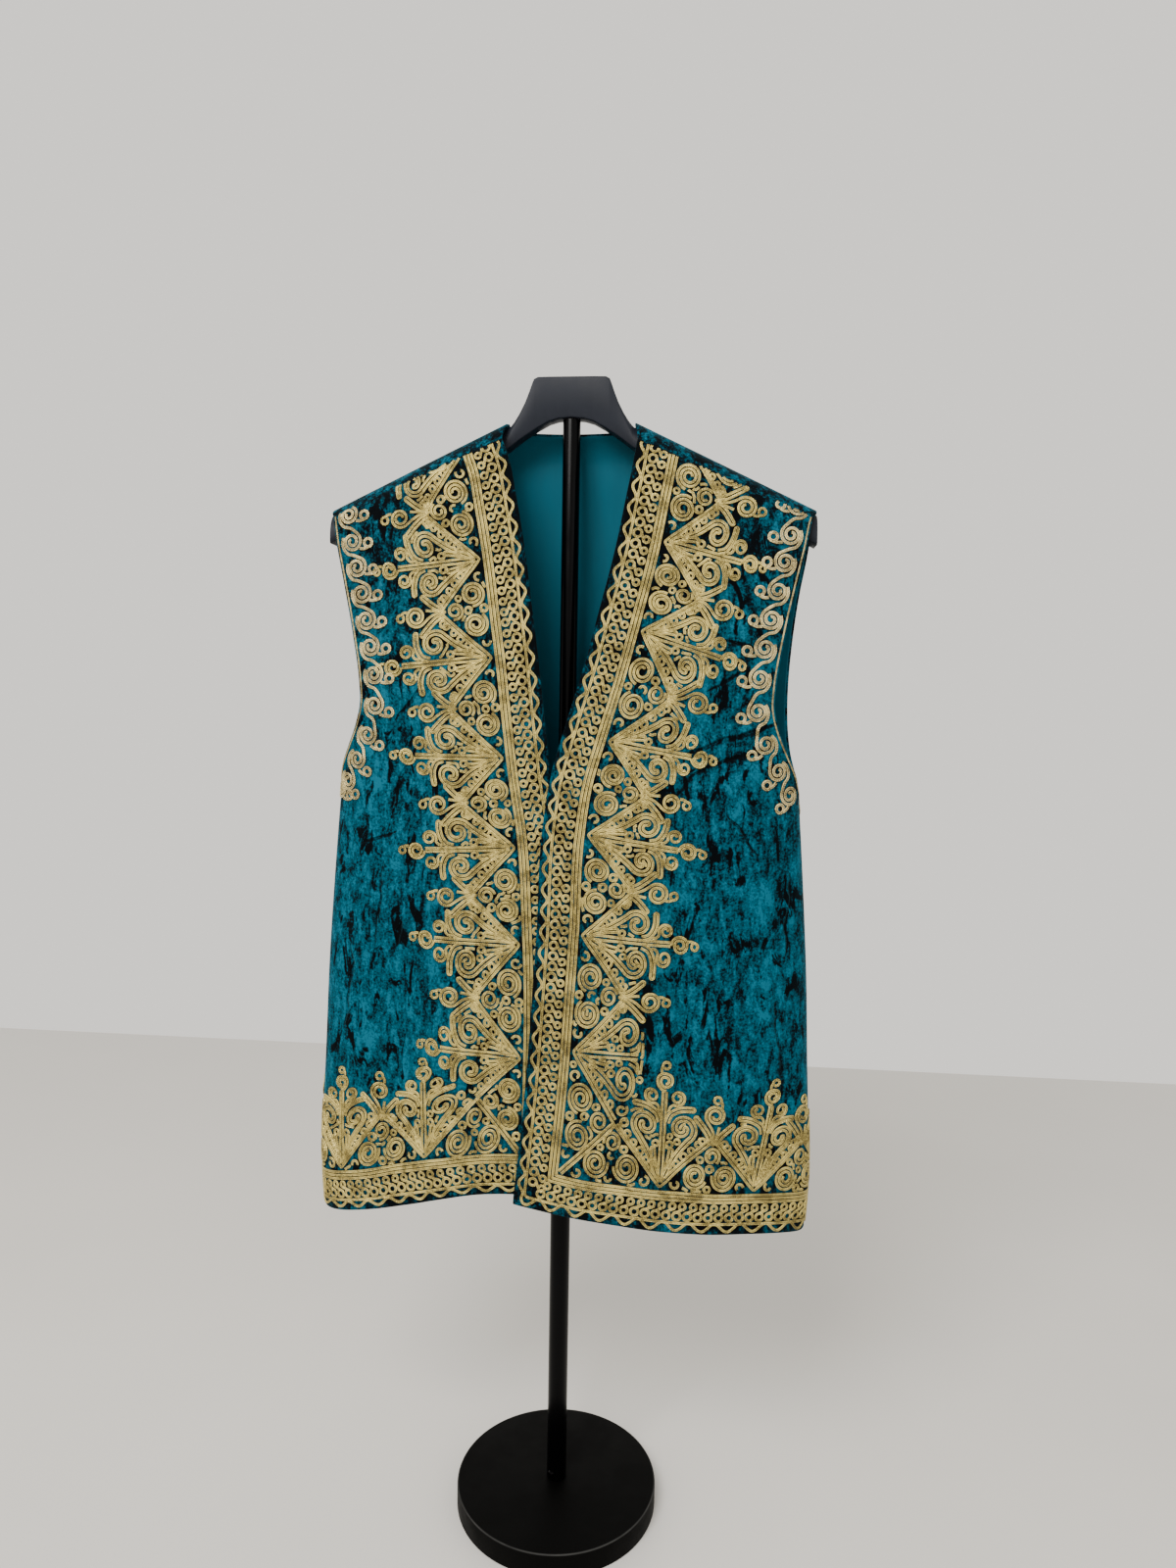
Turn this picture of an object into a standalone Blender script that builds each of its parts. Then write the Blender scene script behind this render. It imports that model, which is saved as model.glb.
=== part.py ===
"""Embroidered folk waistcoat on a telescopic hanger stand.

Metres, +Z up. The origin is the centre of the stand's foot, on the floor.
The front of the garment faces -Y and the wearer's left is +X.
Cloth is drawn as walls: each skin of a wall is the same body form, drawn a
little smaller or larger, so layers stay parallel and seams stay SEAM_GAP apart.
"""
import math
from collections import namedtuple

import bmesh
import bpy
import numpy as np

# ---- driving dimensions -------------------------------------------------
SEAM_GAP = 0.0003            # between pieces that touch
SHOULDER_SEAM_GAP = 0.0006   # wider, because the two pieces' points don't match there
PANEL_WALL = 0.0020          # velvet with its interlining
LINING_WALL = 0.0010
BRAID_WALL = 0.0010          # couched cord lying on the velvet

NECK_HALF = 0.0585           # shoulder line, inner end
NECK_HEIGHT = 1.0422
TIP_HALF = 0.2220            # shoulder line, outer end
TIP_HEIGHT = 0.9640
ROLL_RISE = 0.030            # height of the rounded top of the shoulder
NECK_DIP = 0.0025            # how far the back neck hangs below the shoulder line
UNDERARM_HEIGHT = 0.708
LENS_POWER = 0.40            # roundness of the flattened body section
SEAM_ROLL_NECK = math.radians(65)   # where the shoulder seam lies on the front
SEAM_ROLL_TIP = math.radians(46)
NECK_ROLL = math.radians(30)        # where the back neck edge lies on the roll
LAP_DEPTH = 0.0055           # how far the under front sits behind the upper one
LAP_TOP = (0.80, 0.70)       # heights between which the lap builds up
LAP_SIDE = (-0.11, -0.045)   # across the under front, from no lap to full lap

EDGE_BAND = 0.036            # braided band along front edge and hem
SCROLL_START = 0.0366        # scrollwork begins just clear of the band
SCROLL_VALLEY = 0.095        # scrollwork, narrowest, from the edge
SCROLL_TIP = 0.145           # scrollwork, widest, from the edge

FOOT_RADIUS = 0.0977
FOOT_THICK = 0.022
FOOT_BEVEL = 0.0015
LOWER_RADIUS = 0.0095        # lower tube, outside
LOWER_BORE = 0.0083
LOWER_TOP = 0.560
UPPER_RADIUS = 0.0080        # upper tube, outside
UPPER_BORE = 0.0070
UPPER_BOTTOM = 0.340
UPPER_TOP = 1.0450
COLLAR_RADIUS = 0.0130
COLLAR_HEIGHT = 0.028
TUBE_SIDES = 32
FOOT_SIDES = 64

Section = namedtuple("Section", "height half_width front_depth back_depth")
SECTIONS = [
    Section(0.290, 0.2325, 0.0600, 0.0480),
    Section(0.350, 0.2355, 0.0590, 0.0480),
    Section(0.400, 0.2340, 0.0580, 0.0470),
    Section(0.450, 0.2315, 0.0580, 0.0470),
    Section(0.540, 0.2275, 0.0580, 0.0470),
    Section(0.620, 0.2220, 0.0580, 0.0470),
    Section(0.690, 0.2165, 0.0570, 0.0460),
    Section(0.708, 0.2150, 0.0565, 0.0455),
    Section(0.740, 0.2190, 0.0555, 0.0450),
    Section(0.790, 0.2310, 0.0535, 0.0430),
    Section(0.850, 0.2430, 0.0490, 0.0400),
    Section(0.900, 0.2520, 0.0430, 0.0360),
    Section(0.964, 0.2620, 0.0350, 0.0320),
    Section(1.000, 0.2660, 0.0300, 0.0285),
    Section(1.045, 0.2700, 0.0260, 0.0260),
]

# armhole edges above the underarm, and the front edges, measured across at each height
ArmEdge = namedtuple("ArmEdge", "height front back")
ARM_EDGES = [
    ArmEdge(0.708, 0.2150, 0.2150),
    ArmEdge(0.726, 0.2105, 0.2125),
    ArmEdge(0.7425, 0.2030, 0.2085),
    ArmEdge(0.7655, 0.1930, 0.2055),
    ArmEdge(0.786, 0.1880, 0.2045),
    ArmEdge(0.803, 0.1885, 0.2045),
    ArmEdge(0.847, 0.1950, 0.2070),
    ArmEdge(0.891, 0.2040, 0.2120),
    ArmEdge(0.927, 0.2120, 0.2180),
    ArmEdge(0.955, 0.2180, 0.2215),
    ArmEdge(0.964, 0.2220, 0.2220),
]
FrontEdge = namedtuple("FrontEdge", "height upper under")
FRONT_EDGES = [
    FrontEdge(0.300, -0.0375, -0.0040),
    FrontEdge(0.329, -0.0368, -0.0050),
    FrontEdge(0.364, -0.0335, -0.0060),
    FrontEdge(0.448, -0.0260, -0.0075),
    FrontEdge(0.539, -0.0205, -0.0070),
    FrontEdge(0.584, -0.0180, -0.0050),
    FrontEdge(0.672, -0.0145, 0.0010),
    FrontEdge(0.725, -0.0070, 0.0095),
    FrontEdge(0.7685, 0.0050, 0.0148),
    FrontEdge(0.820, 0.0200, 0.0210),
    FrontEdge(0.872, 0.0330, 0.0288),
    FrontEdge(0.923, 0.0450, 0.0368),
    FrontEdge(0.975, 0.0545, 0.0470),
    FrontEdge(1.000, 0.0590, 0.0525),
    FrontEdge(1.025, 0.0628, 0.0615),
]

# hem height across each piece
HemPoint = namedtuple("HemPoint", "across upper_front under_front back")
HEM_POINTS = [
    HemPoint(-0.040, 0.3295, 0.3370, 0.3040),
    HemPoint(0.000, 0.3225, 0.3370, 0.3040),
    HemPoint(0.050, 0.3155, 0.3350, 0.3040),
    HemPoint(0.089, 0.3105, 0.3316, 0.3035),
    HemPoint(0.137, 0.3070, 0.3180, 0.3025),
    HemPoint(0.188, 0.3055, 0.3045, 0.3010),
    HemPoint(0.217, 0.3025, 0.2975, 0.2985),
    HemPoint(0.240, 0.2970, 0.2940, 0.2960),
]

# largest soft folds: how far the cloth moves out (+) or in (-) of the body form
Fold = namedtuple("Fold", "piece across half_width depth low high")
FOLDS = [
    Fold("upper_front", 0.115, 0.045, -0.0040, 0.32, 0.62),
    Fold("upper_front", 0.030, 0.050, 0.0030, 0.30, 0.55),
    Fold("upper_front", 0.150, 0.040, -0.0045, 0.70, 0.84),
    Fold("under_front", -0.150, 0.045, -0.0045, 0.30, 0.60),
    Fold("under_front", -0.095, 0.040, 0.0030, 0.30, 0.50),
    Fold("under_front", -0.140, 0.040, -0.0030, 0.68, 0.80),
    Fold("back", -0.110, 0.050, -0.0050, 0.28, 0.74),
    Fold("back", 0.000, 0.060, 0.0035, 0.28, 0.62),
    Fold("back", 0.120, 0.050, -0.0045, 0.28, 0.70),
]

# where the front's lines of points run: distance from the front edge, then
# shares of what is left to the side seam
EDGE_LINES = [0.0, 0.018, EDGE_BAND, SCROLL_START, 0.065, SCROLL_VALLEY, SCROLL_TIP]
SIDE_SHARES = [0.435, 0.717, 0.880, 0.970, 1.0]
HEM_LINES = [0.0, 0.018, EDGE_BAND, SCROLL_START, 0.065, SCROLL_VALLEY, SCROLL_TIP]
BODY_ROWS = 12               # rows from the hem trees up to the shoulder roll
FRONT_ROLL_SHARES = [0.5, 1.0]
BACK_ANGLES = [0, 8, 15, 25, 35, 45, 55, 64, 72, 81, 90]
NECK_LINE = 2                # the back's line that runs to the neck point
BACK_ROLLS = [math.radians(65), math.radians(45), NECK_ROLL, math.radians(15), 0.0]
WRAP_ROWS = 3

HangerStation = namedtuple("HangerStation", "across top underside half_thickness corner")
HANGER_STATIONS = [
    HangerStation(0.0000, 1.0825, 1.0460, 0.0085, 0.0025),
    HangerStation(0.0120, 1.0825, 1.0450, 0.0085, 0.0025),
    HangerStation(0.0205, 1.0825, 1.0425, 0.0085, 0.0025),
    HangerStation(0.0310, 1.0823, 1.0368, 0.0085, 0.0025),
    HangerStation(0.0345, 1.0805, 1.0345, 0.0085, 0.0025),
    HangerStation(0.0360, 1.0770, 1.0336, 0.0085, 0.0025),
    HangerStation(0.0385, 1.0700, 1.0320, 0.0085, 0.0028),
    HangerStation(0.0425, 1.0600, 1.0295, 0.0085, 0.0032),
    HangerStation(0.0475, 1.0505, 1.0260, 0.0086, 0.0040),
    HangerStation(0.0525, 1.0430, 1.0222, 0.0088, 0.0055),
    HangerStation(0.0570, 1.0382, 1.0188, 0.0092, 0.0080),
]
ARM_STATIONS = 7
ARM_TIP = 0.2228
ARM_TIP_UNDERSIDE = 0.9320
ARM_TIP_HALF = 0.0145
ARM_TOP_RISE = 0.55          # how much taller than wide a fully rounded arm top is
UNDER_CORNER = 0.0020
CORNER_STEPS = 4
TOP_FLAT_HALF = 0.0004
SHOULDER_SLOPE = (NECK_HEIGHT - TIP_HEIGHT) / (TIP_HALF - NECK_HALF)
SHOULDER_TILT = math.hypot(1, SHOULDER_SLOPE)
CLOTH_STACK = PANEL_WALL + SEAM_GAP + LINING_WALL + SEAM_GAP


# finishes: colour, roughness, metallic
VELVET = ((0.008, 0.130, 0.165), 0.75)
LINING = ((0.004, 0.095, 0.115), 0.50)
GOLD = ((0.520, 0.400, 0.180), 0.45, 0.35)
PALE_GOLD = ((0.640, 0.540, 0.330), 0.45, 0.35)
SATIN_BLACK = ((0.030, 0.031, 0.038), 0.45)
GLOSS_BLACK = ((0.006, 0.006, 0.007), 0.25)


# ---- small helpers ------------------------------------------------------
def smooth(at, places, values):
    """A smooth curve through a table's column (cubic Hermite)."""
    places = np.asarray(places, float)
    values = np.asarray(values, float)
    at = min(max(at, places[0]), places[-1])
    i = min(int(np.searchsorted(places, at, side="right")) - 1, len(places) - 2)
    slopes = np.gradient(values, places)
    step = places[i + 1] - places[i]
    t = (at - places[i]) / step
    return float((2 * t**3 - 3 * t**2 + 1) * values[i] + (t**3 - 2 * t**2 + t) * step * slopes[i]
                 + (3 * t**2 - 2 * t**3) * values[i + 1] + (t**3 - t**2) * step * slopes[i + 1])


def column(rows, name):
    return [getattr(row, name) for row in rows]


def ease(value, start, end):
    t = min(max((value - start) / (end - start), 0.0), 1.0)
    return t * t * (3 - 2 * t)


def half_width(z):
    return smooth(z, column(SECTIONS, "height"), column(SECTIONS, "half_width"))


def depth(z, side):
    name = "front_depth" if side < 0 else "back_depth"
    return smooth(z, column(SECTIONS, "height"), column(SECTIONS, name))


def crest(x):
    """Height of the shoulder line; between the neck points, of the back neck."""
    if abs(x) >= NECK_HALF:
        return NECK_HEIGHT - SHOULDER_SLOPE * (abs(x) - NECK_HALF)
    return NECK_HEIGHT - NECK_DIP * (1 - (x / NECK_HALF) ** 2)


def seam_roll(x):
    """How far round the shoulder the front seam lies."""
    t = min(max((abs(x) - NECK_HALF) / (TIP_HALF - NECK_HALF), 0.0), 1.0)
    return SEAM_ROLL_NECK + (SEAM_ROLL_TIP - SEAM_ROLL_NECK) * t


def arm_edge(z, piece):
    """The piece's outer edge: the side seam below the underarm, the armhole above it."""
    if z <= UNDERARM_HEIGHT:
        return half_width(z)
    name = "back" if piece == "back" else "front"
    return smooth(z, column(ARM_EDGES, "height"), column(ARM_EDGES, name))


def front_edge(z, piece):
    """Distance of a front's edge from its own side's middle line, towards its side."""
    name = "upper" if piece == "upper_front" else "under"
    return smooth(z, column(FRONT_EDGES, "height"), column(FRONT_EDGES, name))


def hem(x, piece):
    places = column(HEM_POINTS, "across")
    return smooth(x if piece == "upper_front" else abs(x), places, column(HEM_POINTS, piece))


def fold_out(x, z, piece):
    total = 0.0
    for fold in FOLDS:
        if fold.piece == piece:
            across = math.exp(-((x - fold.across) / (fold.half_width / 2)) ** 2)
            rise = min(0.05, (fold.high - fold.low) / 3)
            up = ease(z, fold.low, fold.low + rise) * ease(z, fold.high, fold.high - rise)
            total += fold.depth * across * up
    return total


def lap_in(x, z, piece):
    """The under front steps back where the upper front laps over it."""
    if piece != "under_front":
        return 0.0
    return LAP_DEPTH * ease(z, *LAP_TOP) * ease(x, *LAP_SIDE)


def cloth_point(x, z, roll, side, piece, inset):
    """A point of the body form, drawn inset smaller; roll is 90 degrees below the shoulder."""
    a = half_width(z)
    lens = max(1 - (x / a) ** 2, 0.0) ** LENS_POWER
    moved = (fold_out(x, z, piece) - lap_in(x, z, piece)) * min(lens * 2, 1)
    out = ((depth(z, side) - inset) * lens + moved) * math.sin(roll) + SEAM_GAP / 2
    drop = inset * SHOULDER_TILT * math.cos(roll)
    return (x - x * inset / a * math.sin(roll) ** 2, side * out, z - drop)


# ---- walls --------------------------------------------------------------
def finish(mesh, name, colour, roughness, metallic=0.0):
    """Adds the mesh to the scene as a smooth shaded object with its own material."""
    mesh.shade_smooth()
    mesh.set_sharp_from_angle(angle=math.radians(40))
    material = bpy.data.materials.new(name + "_finish")
    material.use_nodes = True
    shader = material.node_tree.nodes["Principled BSDF"]
    shader.inputs["Base Color"].default_value = (*colour, 1)
    shader.inputs["Roughness"].default_value = roughness
    shader.inputs["Metallic"].default_value = metallic
    mesh.materials.append(material)
    thing = bpy.data.objects.new(name, mesh)
    bpy.context.scene.collection.objects.link(thing)
    return thing


def solid(name, vertices, faces, look):
    """A closed body from points and faces, its faces turned to point out."""
    mesh = bpy.data.meshes.new(name)
    shape = bmesh.new()
    points = [shape.verts.new(v) for v in vertices]
    for face in faces:
        shape.faces.new([points[i] for i in face])
    bmesh.ops.recalc_face_normals(shape, faces=shape.faces)
    shape.to_mesh(mesh)
    shape.free()
    return finish(mesh, name, *look)


def wall(name, outer, inner, triangles, look):
    """A closed wall from two matching skins and the triangles they share."""
    used = sorted({i for triangle in triangles for i in triangle})
    index = {old: new for new, old in enumerate(used)}
    count = len(used)
    vertices = [outer[i] for i in used] + [inner[i] for i in used]
    edges = {edge for a, b, c in triangles for edge in ((a, b), (b, c), (c, a))}
    faces = []
    for a, b, c in triangles:
        faces.append((index[a], index[b], index[c]))
        faces.append((index[c] + count, index[b] + count, index[a] + count))
    for a, b in sorted(edges):
        if (b, a) not in edges:
            faces.append((index[b], index[a], index[a] + count))
            faces.append((index[b], index[a] + count, index[b] + count))
    return solid(name, vertices, faces, look)


class Grid:
    """A cloth piece's stations in rows and lines; its wall and its trims are made from them."""

    def __init__(self, piece, rows):
        self.piece = piece
        self.rows = rows                  # each row is a list of (x, z, roll, side)
        self.lines = len(rows[0])

    def skin(self, inset):
        return [cloth_point(x, z, roll, side, self.piece, inset)
                for row in self.rows for x, z, roll, side in row]

    def triangles(self, keep):
        """The half cells that keep(row, line, half) accepts; diagonals alternate."""
        chosen = []
        for i in range(len(self.rows) - 1):
            for j in range(self.lines - 1):
                a = i * self.lines + j
                b, c, d = a + 1, a + self.lines + 1, a + self.lines
                halves = ((a, b, c), (a, c, d)) if (i + j) % 2 else ((a, b, d), (b, c, d))
                chosen += [halves[k] for k in (0, 1) if keep(i, j, k)]
        return chosen

    def wall(self, name, outer_inset, inner_inset, keep, look):
        return wall(name, self.skin(outer_inset), self.skin(inner_inset), self.triangles(keep), look)


def settle(line, row):
    """Where a line of points across meets a row: both depend on each other."""
    z = 0.6
    for _ in range(10):
        z = row(line(z))
    return line(z), z


def between(start, end, share):
    return start + (end - start) * share


# ---- fronts -------------------------------------------------------------
def front_grid(piece):
    """Rows from the hem to the shoulder seam; lines from the front edge to the side."""
    hand = 1 if piece == "upper_front" else -1
    lines = [("edge", w) for w in EDGE_LINES] + [("side", s) for s in SIDE_SHARES]
    rows = [("hem", h) for h in HEM_LINES]
    rows += [("body", (k + 1) / BODY_ROWS) for k in range(BODY_ROWS)]
    rows += [("roll", share) for share in FRONT_ROLL_SHARES]

    def across(kind, value, z):
        start = front_edge(z, piece)
        if kind == "edge":
            return start + value
        return between(start + EDGE_LINES[-1], arm_edge(z, piece), value)

    def roll_at(x, share):
        return between(math.pi / 2, seam_roll(x) + SHOULDER_SEAM_GAP / ROLL_RISE, share)

    def height(kind, value, x):
        low = hem(hand * x, piece)
        roll_start = crest(x) - ROLL_RISE
        if kind == "hem":
            return low + value
        if kind == "body":
            return between(low + HEM_LINES[-1], roll_start, value)
        return roll_start + ROLL_RISE * math.cos(roll_at(x, value))

    stations = []
    for row_kind, row_value in rows:
        row = []
        for line_kind, line_value in lines:
            x, z = settle(lambda z: across(line_kind, line_value, z),
                          lambda x: height(row_kind, row_value, x))
            roll = roll_at(x, row_value) if row_kind == "roll" else math.pi / 2
            row.append((hand * x, z, roll, -1))
        stations.append(row)
    return Grid(piece, stations)


def make_front(hand_name, piece):
    grid = front_grid(piece)
    last_line = grid.lines - 1
    valley = EDGE_LINES.index(SCROLL_VALLEY)
    band = EDGE_LINES.index(EDGE_BAND)
    clear = EDGE_LINES.index(SCROLL_START)
    underarm_row = next(i for i, row in enumerate(grid.rows) if row[-1][1] > UNDERARM_HEIGHT)

    def in_band(i, j, k):
        return i < band or j < band

    def in_scroll(i, j, k):
        if i < clear or j < clear or i >= len(grid.rows) - 2:
            return False
        if i < valley or j < valley:
            return True
        if j == valley and i == valley:
            return True
        if j == valley:
            return k == (i + j) % 2
        return i == valley and k == 0

    def in_armhole(i, j, k):
        return i >= underarm_row - 1 and j >= last_line - 2

    grid.wall(hand_name + "_front", 0.0, PANEL_WALL, lambda i, j, k: True, VELVET)
    lift = -SEAM_GAP
    top = lift - BRAID_WALL
    grid.wall(hand_name + "_front_border", top, lift, in_band, GOLD)
    grid.wall(hand_name + "_front_scrollwork", top, lift, in_scroll, GOLD)
    grid.wall(hand_name + "_front_armhole_vine", top, lift, in_armhole, PALE_GOLD)


# ---- back ---------------------------------------------------------------
def back_grid():
    """Rows from the hem up the back and over the shoulders to the front seams."""
    shares = [math.sin(math.radians(angle)) for angle in BACK_ANGLES]
    shares[NECK_LINE] = NECK_HALF / TIP_HALF
    shares = [-s for s in reversed(shares[1:])] + shares
    rows = [("hem", h) for h in HEM_LINES]
    rows += [("body", (k + 1) / BODY_ROWS) for k in range(BODY_ROWS)]
    rows += [("roll", roll) for roll in BACK_ROLLS]
    rows += [("wrap", (k + 1) / WRAP_ROWS) for k in range(WRAP_ROWS)]

    def height(kind, value, x):
        low = hem(abs(x), "back")
        roll_start = crest(x) - ROLL_RISE
        if kind == "hem":
            return low + value
        if kind == "body":
            return between(low + HEM_LINES[-1], roll_start, value)
        return roll_start + ROLL_RISE * math.cos(value)

    def wrap_station(share, value):
        """Past the crest the strap narrows to meet the front at its seam."""
        hand = 1 if share > 0 else -1
        piece = "upper_front" if share > 0 else "under_front"
        along = max((abs(share) * TIP_HALF - NECK_HALF) / (TIP_HALF - NECK_HALF), 0.0)
        x = abs(share) * TIP_HALF
        for _ in range(10):
            roll = seam_roll(x) * value
            z = height("roll", roll, x)
            inner = between(NECK_HALF, front_edge(height("roll", seam_roll(x), x), piece), value)
            outer = between(TIP_HALF, arm_edge(z, piece), value)
            x = between(inner, outer, along)
        return (hand * x, z, roll, -1)

    stations = []
    for kind, value in rows:
        if kind == "wrap":
            stations.append([wrap_station(share, value) for share in shares])
            continue
        row = []
        for share in shares:
            x, z = settle(lambda z: share * arm_edge(z, "back"), lambda x: height(kind, value, x))
            row.append((x, z, value if kind == "roll" else math.pi / 2, 1))
        stations.append(row)
    return Grid("back", stations)


def make_back():
    grid = back_grid()
    middle = (grid.lines - 1) // 2
    neck_row = len(HEM_LINES) + BODY_ROWS + BACK_ROLLS.index(NECK_ROLL)
    crest_row = len(HEM_LINES) + BODY_ROWS + len(BACK_ROLLS) - 1
    band = HEM_LINES.index(EDGE_BAND)
    clear = HEM_LINES.index(SCROLL_START)
    valley = HEM_LINES.index(SCROLL_VALLEY)
    underarm_row = next(i for i, row in enumerate(grid.rows) if row[-1][1] > UNDERARM_HEIGHT)

    def lines_out(j):
        """How many lines a cell's inner side lies from the middle."""
        return j - middle if j >= middle else middle - 1 - j

    def in_panel(i, j, k):
        return i < neck_row or lines_out(j) >= NECK_LINE

    def in_lining(i, j, k):
        return 1 <= i < crest_row and in_panel(i, j, k)

    def in_scroll(i, j, k):
        return clear <= i < valley or (i == valley and k == 0)

    def in_armhole(hand):
        def keep(i, j, k):
            right_side = j >= middle if hand > 0 else j < middle
            return underarm_row - 1 <= i < neck_row - 1 and right_side and lines_out(j) >= middle - 3
        return keep

    grid.wall("back_panel", 0.0, PANEL_WALL, in_panel, VELVET)
    grid.wall("back_lining", PANEL_WALL + SEAM_GAP, PANEL_WALL + SEAM_GAP + LINING_WALL,
              in_lining, LINING)
    lift = -SEAM_GAP
    top = lift - BRAID_WALL
    grid.wall("back_hem_border", top, lift, lambda i, j, k: i < band, GOLD)
    grid.wall("back_hem_scrollwork", top, lift, in_scroll, GOLD)
    grid.wall("left_back_armhole_vine", top, lift, in_armhole(1), PALE_GOLD)
    grid.wall("right_back_armhole_vine", top, lift, in_armhole(-1), PALE_GOLD)


# ---- stand --------------------------------------------------------------
def turned(name, profile, sides, look):
    """A round piece: a closed profile of (radius, height) turned about the pole's axis."""
    mesh = bpy.data.meshes.new(name)
    shape = bmesh.new()
    points = [shape.verts.new((radius, 0, height)) for radius, height in profile]
    edges = [shape.edges.new((points[i - 1], points[i])) for i in range(len(points))]
    bmesh.ops.spin(shape, geom=points + edges, cent=(0, 0, 0), axis=(0, 0, 1),
                   angle=math.tau, steps=sides, use_merge=True)
    bmesh.ops.remove_doubles(shape, verts=shape.verts, dist=0.00001)
    bmesh.ops.recalc_face_normals(shape, faces=shape.faces)
    shape.to_mesh(mesh)
    shape.free()
    return finish(mesh, name, *look)


def tube(name, bore, radius, low, high, look):
    turned(name, [(bore, low), (radius, low), (radius, high), (bore, high)], TUBE_SIDES, look)


def hanger_section(across, top, underside, half, corner):
    """A rounded upright section: its top corners are large, its lower ones small."""
    radius = min(corner, half - TOP_FLAT_HALF)
    rise = radius * (1 + ARM_TOP_RISE * radius / half)
    points = []
    for hand, angles in ((1, range(CORNER_STEPS + 1)), (-1, range(CORNER_STEPS, -1, -1))):
        for step in angles:
            angle = math.pi / 2 * step / CORNER_STEPS
            points.append((across, hand * (half - radius + radius * math.cos(angle)),
                           top - rise + rise * math.sin(angle)))
    points.append((across, -half, underside + UNDER_CORNER))
    points.append((across, UNDER_CORNER - half, underside))
    points.append((across, half - UNDER_CORNER, underside))
    points.append((across, half, underside + UNDER_CORNER))
    return points


def make_hanger():
    """Yoke and both arms in one body, drawn through upright sections along its length."""
    stations = list(HANGER_STATIONS)
    last = stations[-1]
    for k in range(1, ARM_STATIONS + 1):
        share = k / ARM_STATIONS
        x = between(last.across, ARM_TIP, share)
        half = between(last.half_thickness, ARM_TIP_HALF, math.sin(share * math.pi / 2))
        top = crest(max(x, NECK_HALF)) - CLOTH_STACK * SHOULDER_TILT
        stations.append(HangerStation(x, top, between(last.underside, ARM_TIP_UNDERSIDE, share),
                                      half, half))
    mirrored = [s._replace(across=-s.across) for s in reversed(stations[1:])]
    sections = [hanger_section(*station) for station in mirrored + stations]
    count = len(sections[0])
    vertices = [point for section in sections for point in section]
    faces = []
    for i in range(len(sections) - 1):
        for j in range(count):
            a, b = i * count + j, i * count + (j + 1) % count
            faces.append((a, b, b + count, a + count))
    faces.append(tuple(range(count)))
    faces.append(tuple(range(len(vertices) - count, len(vertices))))
    solid("hanger_yoke", vertices, faces, SATIN_BLACK)


def make_stand():
    bevel = FOOT_BEVEL
    turned("stand_foot", [(0, 0), (FOOT_RADIUS - bevel, 0), (FOOT_RADIUS, bevel),
                          (FOOT_RADIUS, FOOT_THICK - bevel), (FOOT_RADIUS - bevel, FOOT_THICK),
                          (0, FOOT_THICK)], FOOT_SIDES, SATIN_BLACK)
    tube("lower_tube", LOWER_BORE, LOWER_RADIUS, FOOT_THICK + SEAM_GAP, LOWER_TOP, GLOSS_BLACK)
    tube("lock_collar", LOWER_RADIUS + SEAM_GAP, COLLAR_RADIUS,
         LOWER_TOP - COLLAR_HEIGHT, LOWER_TOP, GLOSS_BLACK)
    tube("upper_tube", UPPER_BORE, UPPER_RADIUS, UPPER_BOTTOM, UPPER_TOP, GLOSS_BLACK)
    make_hanger()


def main():
    for thing in list(bpy.data.objects):
        bpy.data.objects.remove(thing, do_unlink=True)
    make_stand()
    make_back()
    make_front("left", "upper_front")
    make_front("right", "under_front")


main()
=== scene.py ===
import math

import bmesh
import bpy
import numpy as np
from mathutils import Matrix, Vector


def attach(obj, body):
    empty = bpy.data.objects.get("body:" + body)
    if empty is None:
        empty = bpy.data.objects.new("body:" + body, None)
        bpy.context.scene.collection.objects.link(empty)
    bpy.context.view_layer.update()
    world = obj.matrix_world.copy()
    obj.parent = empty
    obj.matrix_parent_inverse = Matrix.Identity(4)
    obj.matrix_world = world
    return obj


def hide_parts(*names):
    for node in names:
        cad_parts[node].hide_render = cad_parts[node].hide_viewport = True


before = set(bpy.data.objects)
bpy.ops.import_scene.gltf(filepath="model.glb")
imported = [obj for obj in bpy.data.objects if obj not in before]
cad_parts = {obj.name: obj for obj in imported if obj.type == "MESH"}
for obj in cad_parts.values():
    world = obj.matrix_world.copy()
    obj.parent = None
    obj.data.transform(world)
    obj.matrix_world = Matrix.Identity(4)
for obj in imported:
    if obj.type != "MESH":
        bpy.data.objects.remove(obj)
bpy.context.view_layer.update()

millimetre = 0.001

# the camera: place in metres, turns in radians, lens and sensor in millimetres
cameraView = {
    "place": (0.1102, -0.9735, 0.7933),
    "yaw": 0.0921973,          # turned to the left
    "pitch": 0.0827161,        # looking down
    "roll": 0.0165069,
    "lens": 24.0, "sensor": 36.0, "nearest": 0.02,
}


def makeCamera():
    yaw, pitch, roll = cameraView["yaw"], cameraView["pitch"], cameraView["roll"]
    ahead = np.array((-math.sin(yaw) * math.cos(pitch), math.cos(yaw) * math.cos(pitch),
                      -math.sin(pitch)))
    level = np.array((math.cos(yaw), math.sin(yaw), 0.0))
    upward = np.cross(level, ahead)
    across = math.cos(roll) * level + math.sin(roll) * upward
    upright = -math.sin(roll) * level + math.cos(roll) * upward
    data = bpy.data.cameras.new("camera")
    data.lens, data.sensor_fit = cameraView["lens"], "AUTO"
    data.sensor_width, data.clip_start = cameraView["sensor"], cameraView["nearest"]
    camera = bpy.data.objects.new("camera", data)
    bpy.context.scene.collection.objects.link(camera)
    turned = np.eye(4)
    turned[:3] = np.stack([across, upright, -ahead, cameraView["place"]], 1)
    camera.matrix_world = Matrix(turned.tolist())
    bpy.context.scene.camera = camera


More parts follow.
